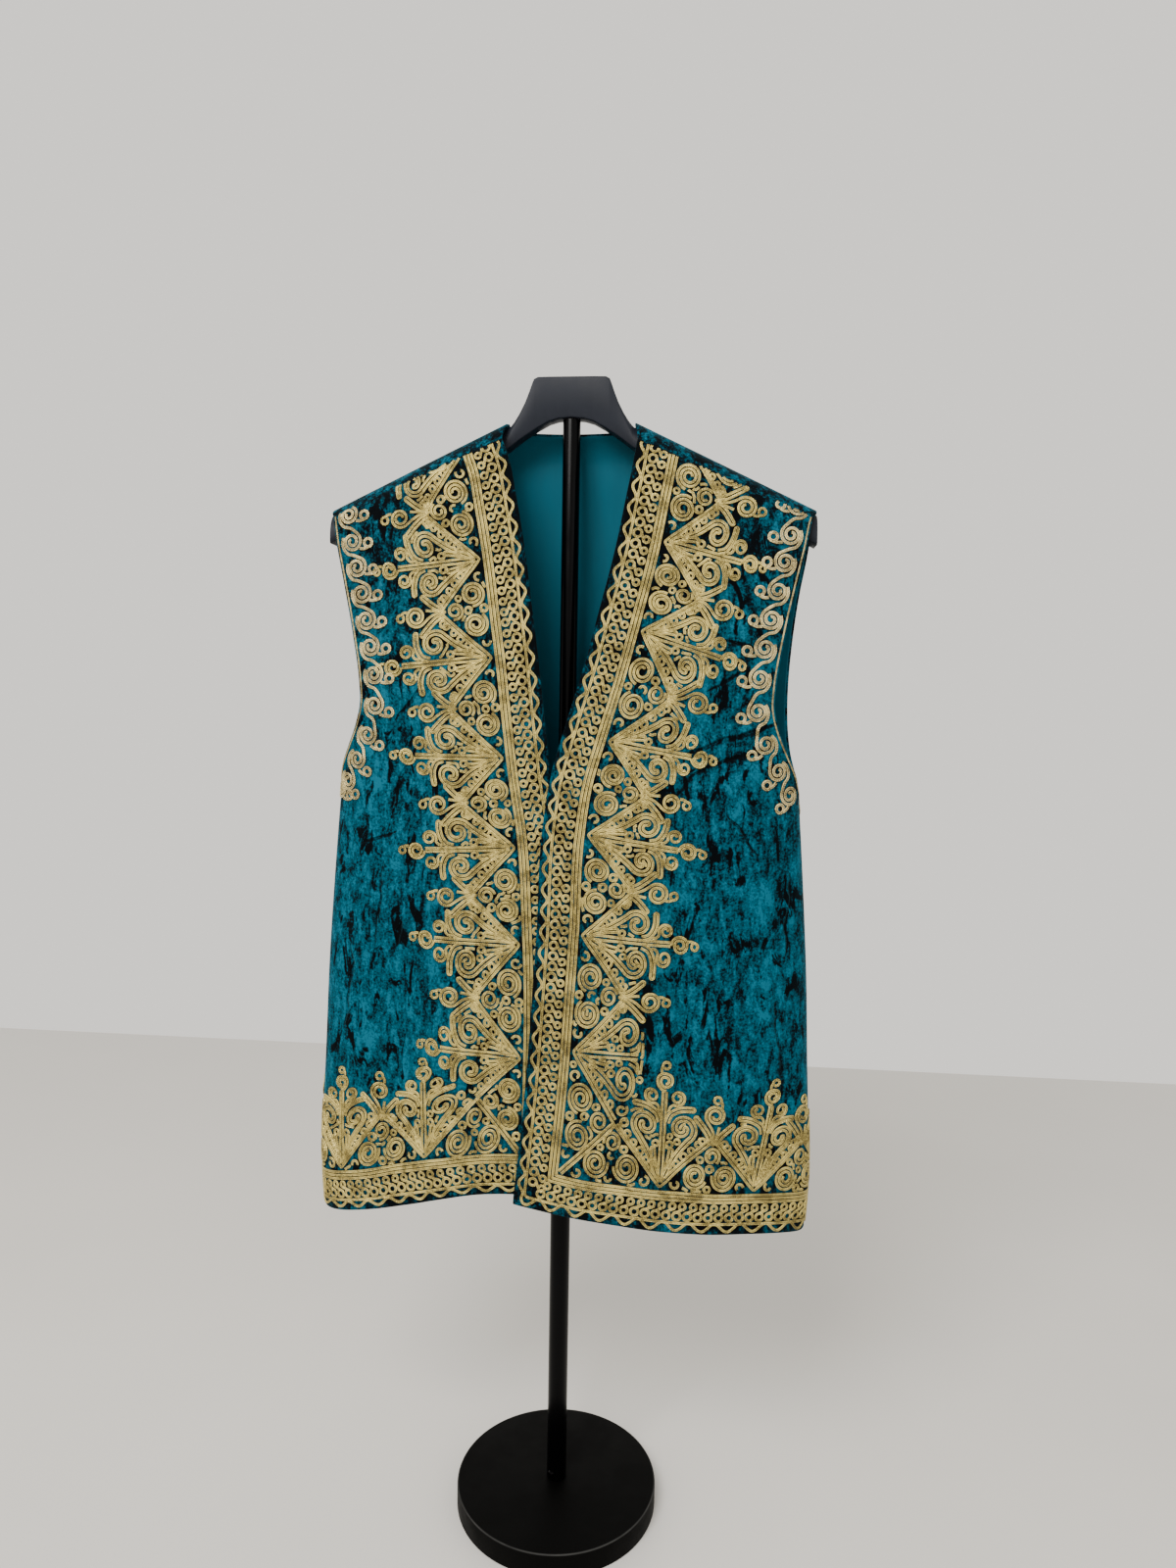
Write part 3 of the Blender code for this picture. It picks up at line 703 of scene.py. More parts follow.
def endRing(start, centre, hand):
    # the cord's end curled into one open ring, with a short tail that leads to it
    ring = spiral(centre, 3.75, math.radians(-100) * hand, hand, pitch=0.6, heart=2.9)
    middle = (np.array(start) + ring[0]) / 2 + (0.3, -0.7 * hand)
    return led([start, middle], ring)


def pineMotif(dice):
    # one large motif, its foot at (0, 0), pointing along +across
    cords, curls = [], []
    gap = cord * 1.05
    cords.append(through([(47, -48.5), (30, -30.5), (13.5, -13.8), (3.2, -3.6), (0.6, 0),
                          (3.2, 3.6), (13.5, 13.8), (30, 30.5), (47, 48.5)]))
    for hand in (-1, 1):
        flip = np.array((1, hand))
        wobble = dice.uniform(-1, 1, 6)
        rail = through([(4.6, 0.6), (8.0, 3.6), (16.5, 12.3), (32.0, 28.0), (47.5, 44.0)], 0.5)
        cords.append(looped(rail, 9.3 + 0.2 * wobble[4], 2.75, -1, 21.0 + wobble[5]) * flip)
        volute = spiral((54.2 + 0.5 * wobble[0], 17.6 + 0.6 * wobble[1]), 16.3 + 0.3 * wobble[2],
                        math.radians(150), -1, pitch=2 * gap + 0.8, heart=3.3)
        cords.append(finger(led([(8.5, 3.0), (20, 8.0), (32.5, 15.2)], volute), gap) * flip)
        cords.append(finger(through([(17, 5.6), (26, 7.6), (33.8, 8.6)]), gap) * flip)
        curls.append((39.6, hand * 6.6, 0.98, math.radians(200) * hand))
        cords.append(finger(through([(60, 3.4), (67.0, 6.2), (71.0, 12.4), (72.6, 19),
                                     (72.4 - 0.4 * wobble[3], 28.0 + wobble[3])]), gap) * flip)
        wing = spiral((83.0 + 0.4 * wobble[4], 12.4), 9.0 + 0.3 * wobble[5],
                      math.radians(212), -1)
        cords.append(led([(70, 4.6), (74.2, 5.6)], wing) * flip)
        cords.append(through([(6, hand * 1.0), (12, hand * 1.65), (40, hand * 1.7),
                              (88.4, hand * 1.7)]))
    cords.append(spiral((98.2, 0.3), 10.6, math.radians(176), dice.choice((-1, 1)), heart=2.2))
    cords.append(endRing((106.0, -3.9), (112.8, 0.4), 1))
    half = [(8, 4), (44, 43), (56, 36), (68, 30), (72, 12), (74, 0)]
    return cords, curls, half + [(x, -y) for x, y in half[::-1]]


def budMotif(dice):
    # the small motif between two large ones, its foot where their arms meet
    cords, curls = [], []
    lean = dice.choice((-1, 1))
    for hand in (-1, 1):
        reach = 17.5 + 3.0 * (hand == lean)
        cords.append(finger(through([(-4, hand * 2.2), (4, hand * 5.2), (10.5, hand * 10.4),
                                     (reach - 2, hand * (reach - 2.2))])))
        curls.append((-1.5, hand * 10.2, 0.95, dice.uniform(0, math.tau)))
    wind = spiral((23.4, 1.2 * lean), 10.9 + dice.uniform(-0.4, 0.6),
                  math.radians(180 - 42 * lean), -lean, heart=2.6)
    cords.append(led([(-5, 0.5), (5, 0.6 * lean), (10.5, 3.0 * lean)], wind))
    cords.append(through([(-3, -2.0 * lean), (6, -2.4 * lean), (13.5, -3.4 * lean)]))
    cords.append(endRing((31.2, -3.6 * lean), (37.9, 1.4 * lean), lean))
    return cords, curls


def bayFilling(dice):
    # the triangle between the border and the arms of two large motifs: two large spirals
    # on the border and a smaller one above them
    cords = []
    middle = drawnSize["bayWide"] / 2
    sway = dice.uniform(-0.9, 0.9)
    for hand in (-1, 1):
        start = math.radians(90 + hand * dice.uniform(60, 130))
        radius = 13.5 + dice.uniform(-0.5, 0.3)
        cords.append(spiral((middle + hand * 14.2 + sway, 13.6), radius, start, hand,
                            heart=dice.uniform(1.8, 2.9), oval=0.98))
    cords.append(spiral((middle + sway * 0.4, 31.4), 9.7, dice.uniform(0, math.tau),
                        dice.choice((-1, 1))))
    return cords, [], [(3, 0), (89, 0), (middle, 43)]


# loops, small spirals and tails that fill the gaps between motifs, in millimetres
fillWork = {
    "cell": 0.5, "margin": 20, "most": 12.0,
    "least": 3.3,              # smallest loop, outside
    "spiralFrom": 4.9, "overlap": 0.2, "mostLoops": 900,
    "tailLeast": 1.40,         # narrowest gap that still takes a cord, half its width
    "tailStep": 0.8, "tailMost": 15, "tailTurn": math.radians(21), "tailShortest": 8,
    "tailEnd": 0.8,            # it ends where the gap is this share of the narrowest
    "tailReach": 5, "mostTails": 1600,
}


class Gaps:
    # how far each place of a fine grid lies from the cords, and from the fields' edges
    def __init__(self, work):
        self.cell = fillWork["cell"]
        edges = np.concatenate(work.fields)
        self.corner = edges.min(0) - fillWork["margin"]
        size = np.ceil((edges.max(0) + fillWork["margin"] - self.corner) / self.cell).astype(int)
        self.xs, self.zs = (self.corner[k] + (np.arange(size[k]) + 0.5) * self.cell
                            for k in (0, 1))
        taken = np.zeros(size, bool)
        for line in work.cords + work.guides:
            far = travel(line)
            at = np.linspace(0, far[-1], max(2, int(far[-1] / self.cell * 1.5)))
            index = ((pointsAt(at, far, line) - self.corner) / self.cell).astype(int)
            index = index[((index >= 0) & (index < size)).all(1)]
            taken[tuple(index.T)] = True
        self.measure(taken)
        allowed = np.zeros(size, bool)
        for field in work.fields:
            x, z, window = self.window(field.min(0), field.max(0))
            within = np.zeros(x.shape, bool)
            for (x1, z1), (x2, z2) in zip(field, np.roll(field, -1, 0)):
                crosses = (z1 > z) != (z2 > z)
                within ^= crosses & (x < (x2 - x1) * (z - z1) / (z2 - z1 + 1e-12) + x1)
            allowed[window] |= within
        self.closed = ~allowed
        for across, up, scale, _ in work.curls:
            self.take(np.array((across, up)), cordwork["curlOutside"] * scale)
        self.room[self.closed] = -1

    def measure(self, taken):
        # grows what is taken cell by cell and notes how far each cell was
        half = cordwork["width"] / 2
        straight = [(np.s_[1:], np.s_[:-1]), (np.s_[:, 1:], np.s_[:, :-1])]
        slanting = [(np.s_[1:, 1:], np.s_[:-1, :-1]), (np.s_[1:, :-1], np.s_[:-1, 1:])]
        self.room = np.full(taken.shape, -half, np.float32)
        reach, front = 0.0, taken
        while reach < fillWork["most"] + 2 and not front.all():
            grown = front.copy()
            often = round(reach / self.cell) % 5 in (1, 3)     # also corner to corner, at times
            for ahead, behind in straight + slanting * often:
                grown[ahead] |= front[behind]
                grown[behind] |= front[ahead]
            reach += self.cell
            self.room[grown & ~front] = reach - half
            front = grown
        self.room[~front] = reach

    def window(self, low, high):
        # the places in a box of the pattern, and their cells
        low = np.maximum(((low - self.corner) / self.cell).astype(int), 0)
        high = ((high - self.corner) / self.cell).astype(int) + 1
        x, z = np.meshgrid(self.xs[low[0]:high[0]], self.zs[low[1]:high[1]], indexing="ij")
        return x, z, np.s_[low[0]:high[0], low[1]:high[1]]

    def take(self, centre, radius, span=None):
        # a round thing is laid here; the room of the places within the span shrinks
        span = span or radius + fillWork["most"] + 3
        x, z, window = self.window(centre - span, centre + span)
        away = np.hypot(x - centre[0], z - centre[1]) - radius
        self.room[window] = np.minimum(self.room[window], away)

    def widest(self):
        best = np.unravel_index(np.argmax(self.room), self.room.shape)
        return np.array((self.xs[best[0]], self.zs[best[1]])), self.room[best]

    def roomAt(self, spot):
        i, j = ((spot - self.corner) / self.cell).astype(int)
        return self.room[i, j]


def fillFields(work, dice):
    gaps = Gaps(work)
    for _ in range(fillWork["mostLoops"]):
        centre, radius = gaps.widest()
        radius = min(float(radius), fillWork["most"])
        if radius < fillWork["least"]:
            break
        gaps.take(centre, radius)
        gaps.room[gaps.closed] = -1
        drawn = radius + fillWork["overlap"]
        if radius > fillWork["spiralFrom"]:
            work.cords.append(spiral(centre, drawn, dice.uniform(0, math.tau),
                                     dice.choice((-1, 1))))
        else:
            work.curls.append((*centre, drawn / cordwork["curlOutside"],
                               dice.uniform(0, math.tau)))
    # short tails of cord along the gaps that are left
    for _ in range(fillWork["mostTails"]):
        seed, room = gaps.widest()
        if room < fillWork["tailLeast"]:
            break
        tail = tailFrom(gaps, seed)
        for spot in tail:
            gaps.take(spot, cordwork["width"] / 2, fillWork["tailReach"])
        if len(tail) >= fillWork["tailShortest"]:
            work.cords.append(through(tail, 0.25))


def tailFrom(gaps, seed):
    # feels its way both ways from a place to wherever the gap is widest
    step = fillWork["tailStep"]
    around = np.linspace(0, math.tau, 16, endpoint=False)
    heading = max(around, key=lambda a: gaps.roomAt(seed + step * 2 * toward(a)))
    ends = []
    for sense in (0, math.pi):
        spot, turned, way = seed, heading + sense, []
        while len(way) < fillWork["tailMost"]:
            tries = turned + np.linspace(-1, 1, 7) * fillWork["tailTurn"]
            places = [spot + step * toward(a) for a in tries]
            rooms = [gaps.roomAt(place) for place in places]
            pick = int(np.argmax(rooms))
            if rooms[pick] < fillWork["tailLeast"] * fillWork["tailEnd"]:
                break
            spot, turned = places[pick], tries[pick]
            way.append(spot)
        ends.append(way)
    return np.array(ends[1][::-1] + [seed] + ends[0])


# where the cord runs on each piece's flat pattern, in millimetres
borderRows = {
    "wave": 5.4, "edgeCord": 9.5,
    "frontWave": (19.3, 2.4, 0.0),    # period, swing, and shift off the edge
    "hemWave": {"upper": (23.5, 3.8, 0.7), "under": (22.0, 2.6, 0.2), "back": (22.5, 3.0, 0.3)},
    "ringRows": 20.1,          # the middle between the two rows of rings
    "ringApart": 4.4, "ringPitch": 9.6, "ringRadius": (3.5, 2.75), "ringHeart": 0.1,
    "tripleCords": (30.0, 33.2, 36.4), "scrollStart": 37.6,
    "roundCorner": {"wave": 7.0, "edgeCord": 4.5},
}
# large motifs: (height of the foot, length, tilt) down the front edge and
# (place of the foot, length, tilt) along the hem; corner is where the two runs meet
motifTable = {
    "upper": {
        "edge": [(1022, 86, -15), (932, 84, -14.5), (853, 88, -18), (755, 88, -10),
                 (672, 97, -9), (582, 95, -5), (476, 90, -4)],
        "hem": [(96.5, 106, -2), (182.5, 95, -11), (272, 95, 0)],
        "corner": (54, 409), "tipless": 6,
    },
    "under": {
        "edge": [(1008, 88, -8), (915, 91, -6.5), (827, 101, -6), (737.5, 98, 0),
                 (657, 99, -3), (569, 94, 2), (463, 89, 5)],
        "hem": [(122, 85, -1.5), (210, 89, 0), (297, 90, 0)],
        "corner": (73, 424),
    },
    "back": {"hem": [(-297, 89, 0), (-212.5, 88, 1), (-127.5, 91, 0), (-42.5, 88, -1),
                     (42.5, 90, 1), (127.5, 89, 0), (212.5, 91, -1), (297, 88, 0)]},
    "footStep": 3.0,               # the feet stand this far from the border
    "meetReach": (44.5, 48.5),     # how far from it the arms meet, up the front and on the hem
    "apart": 93,                   # from a motif to the one that the seam cuts off
    "hemFrom": 40,                 # the hem's run starts this far below the last foot
}
# the size that motifs are drawn at: a pine's length, where its arms end, where it is cut
# if it has no tip, and the triangle of a bay
drawnSize = {"length": 106.2, "armEnd": (46, 47.5), "tipFrom": 69, "tipPast": 76,
             "bayWide": 92, "bayTall": 45}
armVine = {
    "cordWidth": 3.1, "edgeCord": 1.8, "pitch": {"upper": 25.6, "under": 24.2, "back": 25.6},
    "start": {"upper": -3.0, "under": 6.5, "back": 6.0},    # first spiral below the seam
    "spiralCentre": 15.6, "spiralRadius": 11.2, "spiralPitch": 3.9, "spiralHeart": 2.0,
    "spiralStart": math.radians(-42), "ringStart": math.radians(80),
    "hug": [(7.9, -5.0), (6.2, -0.6), (6.6, 5.0), (9.6, 10.2), (14.9, 12.6)],
    "ringReach": 15.4, "ringDrop": 4.4, "ringRadius": 3.8,
    "ringNeck": [(6.6, 7.6), (10.0, 8.7)],
}


def edgeInFlat(flatZ, edgeAt, side):
    # a free edge of a piece, given across at each height, in the flat pattern
    z = flatZ
    for _ in range(4):
        z, _ = rolledOver(flatZ, edgeAt(z))
    return np.stack([flatFromAcross(edgeAt(z), z, side), flatZ], 1) / millimetre


def hemInFlat(piece, low, high):
    flatX = np.linspace(low, high, 500) * millimetre
    z = np.full_like(flatX, 0.31)
    for _ in range(3):
        z = hemAt(acrossFromFlat(flatX, z, sideOf(piece)), piece)
    return np.stack([flatX, z], 1) / millimetre


def rimLine(piece, inward, rounded=0.0):
    # a line beside the front edge and the hem, from the shoulder round the corner to the side
    hem = beside(hemInFlat(piece, -300 if piece == "back" else -45, 300), inward)
    if piece == "back":
        return hem
    edge = edgeInFlat(np.linspace(1.045, 0.300, 700), lambda z: frontEdge(z, piece), -1)
    edge = beside(edge, inward)
    gap = np.hypot(edge[:, None, 0] - hem[None, :, 0], edge[:, None, 1] - hem[None, :, 1])
    i, j = np.unravel_index(np.argmin(gap), gap.shape)
    corner = (edge[i] + hem[j]) / 2
    edge, hem = edge[:i], hem[j + 1:]
    if rounded:
        edge = edge[np.hypot(*(edge - corner).T) > rounded]
        hem = hem[np.hypot(*(hem - corner).T) > rounded]
        t = np.linspace(0, 1, 14)[1:-1, None]
        corner = edge[-1] * (1 - t) ** 2 + corner * 2 * t * (1 - t) + hem[0] * t**2
    return joined(edge, corner, hem)


def placesAlong(line, pitch, start=0.0):
    # places at an even pitch along a line, each with the direction of the line there
    far = travel(line)
    at = np.arange(start, far[-1], pitch)
    ahead = pointsAt(at + 1, far, line) - pointsAt(at - 1, far, line)
    return [(spot, toward(math.atan2(way[1], way[0])))
            for spot, way in zip(pointsAt(at, far, line), ahead)]


def stitchBorder(work, piece, dice):
    rows = borderRows
    line = rimLine(piece, rows["wave"], rows["roundCorner"]["wave"])
    far = travel(line)
    even = np.linspace(0, far[-1], int(far[-1] / 0.7))
    line = pointsAt(even, far, line)
    onHem = ease(np.abs(headings(line)[:, 0]), 0.5, 0.9)[:, None]
    period, swing, inward = (np.array(rows["frontWave"]) * (1 - onHem)
                             + np.array(rows["hemWave"][piece]) * onHem).T
    phase = np.cumsum(np.gradient(even) / period) * math.tau + 0.5 * np.sin(even / 61.0)
    swing = inward + swing * (np.cos(phase) + 0.04 * np.cos(2 * phase))
    work.cords.append(beside(line, swing[:, None]))
    work.cords.append(rimLine(piece, rows["edgeCord"], rows["roundCorner"]["edgeCord"]))
    for inward in rows["tripleCords"]:
        work.cords.append(rimLine(piece, inward))
    for spot, along in placesAlong(rimLine(piece, rows["ringRows"]), rows["ringPitch"], 3.0):
        work.cords.append(frameAt(spot, along, leftOf(along))(ringPair(dice)))


def ringPair(dice):
    # one cord curled into a ring of the outer row, led across and curled into one of the inner
    rows = borderRows
    first, second = np.array(rows["ringRadius"]) + dice.uniform(-0.15, 0.15, 2)
    shift = rows["ringPitch"] / 2 + dice.uniform(-0.3, 0.3)
    wind = np.linspace(0, 1, 26)
    rings = []
    for radius, start, left, middle in (
            (first, math.pi / 2, 1 - wind, (0, -rows["ringApart"])),
            (second, -math.pi / 2, wind, (shift, rows["ringApart"]))):
        a, r = start + left * math.tau * 1.02, radius - rows["ringHeart"] * left
        rings.append(np.stack([middle[0] + r * np.cos(a), middle[1] + r * np.sin(a)], 1))
    return joined(*rings)


def motifFrame(foot, axis, length, corners):
    # the motif's own frame laid between its foot, its tip and the two places where
    # its arms meet its neighbours'
    along = axis * length / drawnSize["length"]
    ahead, out = drawnSize["armEnd"]
    sides = [(corner - foot - ahead * along) / reach
             for corner, reach in zip(corners, (-out, out))]

    def place(line):
        side = np.where(line[:, 1:] < 0, *sides)
        return foot + line[:, :1] * along + line[:, 1:] * side
    return place


def motifFeet(table, inner):
    # where the large motifs stand, which way they point, how long they are, and how many
    # of them stand along the front edge
    feet, axes, lengths = [], [], []
    rightOf = 130                  # the hem lies beyond this, so no foot of the edge does
    for height, length, tilt in table.get("edge", []):
        far = np.abs(inner[:, 1] - height) + 40 * (inner[:, 0] > rightOf)
        feet.append(inner[np.argmin(far)])
        axes.append(toward(math.radians(tilt)))
        lengths.append(length)
    turnAt = len(feet)
    flat = inner[inner[:, 1] < feet[-1][1] - motifTable["hemFrom"]] if turnAt else inner
    for across, length, tilt in table["hem"]:
        feet.append(flat[np.argmin(np.abs(flat[:, 0] - across))])
        axes.append(leftOf(toward(math.radians(tilt))))
        lengths.append(length)
    return feet, axes, lengths, turnAt


def stitchScrolls(work, piece, dice):
    table = motifTable[piece]
    inner = rimLine(piece, borderRows["scrollStart"])
    work.guides.append(rimLine(piece, borderRows["tripleCords"][-1]))
    feet, axes, lengths, turnAt = motifFeet(table, inner)
    meets = []
    for k in range(len(feet) - 1):
        axis = unit(axes[k] + axes[k + 1])
        meets.append((feet[k] + feet[k + 1]) / 2 + axis * motifTable["meetReach"][k >= turnAt])
        if k == turnAt - 1:
            meets[-1] = np.array(table["corner"], float)
    for k, foot in enumerate(feet):
        # past the ends of the run a motif is taken as even, and the seam cuts it
        before = meets[k - 1] if k else 2 * foot + motifTable["apart"] * axes[0] - meets[0]
        after = (meets[k] if k < len(meets)
                 else 2 * foot + motifTable["apart"] * axes[-1] - meets[-1])
        stood = foot + axes[k] * motifTable["footStep"]
        cords, curls, field = pineMotif(dice)
        if k == table.get("tipless"):      # the next motif's tip stands where its own would
            cords = [line[line[:, 0] < drawnSize["tipFrom"]] for line in cords
                     if line[:, 0].mean() < drawnSize["tipPast"]]
        work.lay(motifFrame(stood, axes[k], lengths[k], (before, after)), cords, curls, field)
    for k, meet in enumerate(meets):
        bays = [(feet[k], feet[k + 1])]
        if k == turnAt - 1:
            bend = inner[np.argmin(inner[:, 0] + inner[:, 1])] + (1.2, 1.2)
            bays = [(feet[k], bend), (bend, feet[k + 1])]
            work.cords.append(finger(through([bend + (1, 1), (bend + meet) / 2, meet - (2, 2)])))
        else:
            axis = unit(axes[k] + axes[k + 1])
            work.lay(frameAt(meet, axis, leftOf(axis)), *budMotif(dice))
        for first, second in bays:
            work.lay(frameAt(first, second - first, meet - (first + second) / 2,
                             drawnSize["bayWide"], drawnSize["bayTall"]), *bayFilling(dice))


def stitchVine(work, piece, dice):
    size = armVine
    work.width = size["cordWidth"]
    edge = edgeInFlat(np.linspace(1.03, 0.700, 600), lambda z: armEdge(z, piece), sideOf(piece))
    work.thin.append(beside(edge, -size["edgeCord"]))
    x, _, roll, _ = hanging(edge * millimetre, piece, 1)
    seam = form["neckRoll"] if piece == "back" else seamRoll(x)
    first = travel(edge)[np.argmax(roll > seam)]
    pitch, reach = size["pitch"][piece], size["spiralCentre"]
    frames = [frameAt(spot, -leftOf(down), down)
              for spot, down in placesAlong(edge, pitch, first + size["start"][piece])]
    before = frames[0](np.array(size["hug"]) - (0, pitch))
    for placed in frames:
        wind = placed(spiral((reach, 0), size["spiralRadius"] + dice.uniform(-0.5, 0.3),
                             size["spiralStart"], 1, size["spiralPitch"], size["spiralHeart"]))
        work.cords.append(led(before, wind))     # crosses over from the last one and winds in
        ring = np.array((reach + size["ringReach"], size["ringDrop"] + dice.uniform(-0.8, 0.8)))
        turn = np.linspace(0, math.tau * 1.02, 18) + size["ringStart"]
        loop = ring + size["ringRadius"] * np.stack([np.cos(turn), np.sin(turn)], 1)
        work.cords.append(placed(led([(reach + out, down) for out, down in size["ringNeck"]],
                                     loop)))
        before = placed(size["hug"])


def nodeMaker(tree):
    # adds a node; a value that is a socket is linked, any other is set
    def node(kind, values=None, **settings):
        made = tree.nodes.new(kind)
        for key, value in settings.items():
            setattr(made, key, value)
        for key, value in (values or {}).items():
            if isinstance(value, bpy.types.NodeSocket):
                tree.links.new(value, made.inputs[key])
            else:
                made.inputs[key].default_value = value
        return made
    return node


def nodeTools(tree):
    node = nodeMaker(tree)

    def maths(operation, *values, clamp=False):
        return node("ShaderNodeMath", dict(enumerate(values)), operation=operation,
                    use_clamp=clamp).outputs[0]

    def noise(vector, scale, detail=2.0, roughness=0.5, distortion=0.0):
        return node("ShaderNodeTexNoise", {"Vector": vector, "Scale": scale, "Detail": detail,
                                           "Roughness": roughness,
                                           "Distortion": distortion}).outputs["Fac"]

    def ranged(value, low, high, start=0.0, end=1.0, kind="SMOOTHSTEP"):
        return node("ShaderNodeMapRange", {"Value": value, "From Min": low, "From Max": high,
                                           "To Min": start, "To Max": end},
                    interpolation_type=kind).outputs["Result"]
    return node, maths, noise, ranged


def cordTree():
    # sweeps a two-ply cord along every run of edges and sets a curled loop on every
    # loose point; "lie" is the cloth's normal, "ahead" and "size" turn and scale a loop
    tree = bpy.data.node_groups.new("couchedCord", "GeometryNodeTree")
    identifiers = {}
    for label, kind in (("Geometry", "Geometry"), ("Cord Width", "Float"),
                        ("Cord Height", "Float"), ("Groove Height", "Float"),
                        ("Curl Radius", "Float"), ("Curl Turns", "Float"),
                        ("Curl Unevenness", "Float"), ("Seed", "Int"), ("Finish", "Material")):
        socket = tree.interface.new_socket(label, in_out="INPUT",
                                           socket_type="NodeSocket" + kind)
        identifiers[label] = socket.identifier
    tree.interface.new_socket("Geometry", in_out="OUTPUT", socket_type="NodeSocketGeometry")
    node, maths, _, _ = nodeTools(tree)
    given = node("NodeGroupInput").outputs

    def named(label, kind):
        return node("GeometryNodeInputNamedAttribute", {"Name": label},
                    data_type=kind).outputs["Attribute"]

    def captured(geometry, value):
        made = node("GeometryNodeCaptureAttribute")
        made.capture_items.new("FLOAT", "value")
        tree.links.new(geometry, made.inputs[0])
        tree.links.new(value, made.inputs[1])
        return made.outputs[0], made.outputs[1]

    # the profile: two rounded plies with a groove between them, a place for each corner
    corners = ((-0.5, 0, 0), (-0.31, 1, 0), (0, 0, 1), (0.31, 1, 0), (0.5, 0, 0))
    ring = node("GeometryNodeCurvePrimitiveCircle", {"Resolution": len(corners), "Radius": 1.0})
    index = node("GeometryNodeInputIndex").outputs[0]
    outline = node("GeometryNodeIndexSwitch", data_type="VECTOR")
    while len(outline.index_switch_items) < len(corners):
        outline.index_switch_items.new()
    tree.links.new(index, outline.inputs["Index"])
    for corner, place in enumerate(corners):
        outline.inputs[corner + 1].default_value = place
    parts = node("ShaderNodeSeparateXYZ", {0: outline.outputs[0]}).outputs
    groove = maths("MULTIPLY", parts["Z"], given["Groove Height"])
    rise = maths("MULTIPLY_ADD", parts["Y"], given["Cord Height"], groove)
    place = node("ShaderNodeCombineXYZ", {"X": rise, "Y": maths("MULTIPLY", parts["X"],
                                                                given["Cord Width"])})
    profile = node("GeometryNodeSetPosition", {"Geometry": ring.outputs["Curve"],
                                               "Position": place.outputs[0]}).outputs[0]
    profile, sideways = captured(profile, maths("MULTIPLY", index, 1 / (len(corners) - 1)))

    def swept(curve, scale):
        curve, length = captured(curve, node("GeometryNodeSplineParameter").outputs["Length"])
        body = node("GeometryNodeCurveToMesh", {"Curve": curve, "Profile Curve": profile,
                                                "Scale": scale, "Fill Caps": True}).outputs[0]
        where = node("ShaderNodeCombineXYZ", {"X": length, "Y": sideways}).outputs[0]
        return node("GeometryNodeStoreNamedAttribute",
                    {"Geometry": body, "Name": "cordUv", "Value": where},
                    data_type="FLOAT2", domain="CORNER").outputs[0]

    def upright(curve, normal):
        return node("GeometryNodeSetCurveNormal", {"Curve": curve, "Normal": normal},
                    mode="FREE").outputs[0]

    lines = node("GeometryNodeMeshToCurve", {"Mesh": given["Geometry"]}).outputs[0]
    lines = upright(lines, named("lie", "FLOAT_VECTOR"))
    # one curled loop, flat, from its heart outwards
    curl = node("GeometryNodeCurveSpiral",
                {"Resolution": 12, "Rotations": given["Curl Turns"], "Height": 0.0,
                 "Start Radius": maths("MULTIPLY", given["Curl Radius"], 0.86),
                 "End Radius": maths("MULTIPLY", given["Curl Radius"], 1.22)}).outputs[0]
    loop = swept(upright(curl, (0, 0, 1)), 1.0)
    spots = node("GeometryNodeMeshToPoints",
                 {"Mesh": given["Geometry"], "Selection": named("curl", "BOOLEAN")}).outputs[0]
    turn = node("FunctionNodeAxesToRotation", {"Primary Axis": named("lie", "FLOAT_VECTOR"),
                                               "Secondary Axis": named("ahead", "FLOAT_VECTOR")},
                primary_axis="Z", secondary_axis="X").outputs[0]
    least = maths("SUBTRACT", 1.0, given["Curl Unevenness"])
    most = maths("ADD", 1.0, given["Curl Unevenness"])
    uneven = node("FunctionNodeRandomValue", {2: least, 3: most, "Seed": given["Seed"]},
                  data_type="FLOAT").outputs[1]
    size = maths("MULTIPLY", named("size", "FLOAT"), uneven)
    loops = node("GeometryNodeInstanceOnPoints", {"Points": spots, "Instance": loop,
                                                  "Rotation": turn, "Scale": size}).outputs[0]
    both = node("GeometryNodeJoinGeometry")
    tree.links.new(swept(lines, named("size", "FLOAT")), both.inputs[0])
    tree.links.new(loops, both.inputs[0])
    whole = node("GeometryNodeRealizeInstances", {"Geometry": both.outputs[0]}).outputs[0]
    whole = node("GeometryNodeSetShadeSmooth", {"Geometry": whole}).outputs[0]
    node("NodeGroupOutput", {0: node("GeometryNodeSetMaterial", {
        "Geometry": whole, "Material": given["Finish"]}).outputs[0]})
    return tree, identifiers


couchedCord = cordTree()


def runsOnCloth(work, piece):
    # the runs of cord that lie on the piece, cut at its edges, and the cord's size at each point
    runs, shares = [], []
    for line, share in ([(line, 1.0) for line in work.cords]
                        + [(line, cordwork["thinShare"]) for line in work.thin]):
        inside = insideCut(line * millimetre, piece, cordwork["clear"])
        marks = np.flatnonzero(np.diff(np.concatenate([[0], inside.astype(int), [0]])))
        for start, stop in marks.reshape(-1, 2):
            if stop - start >= cordwork["fewestPoints"]:
                runs.append(resampled(line[start:stop]))
                shares.append(np.full(len(runs[-1]), share))
    return runs, shares


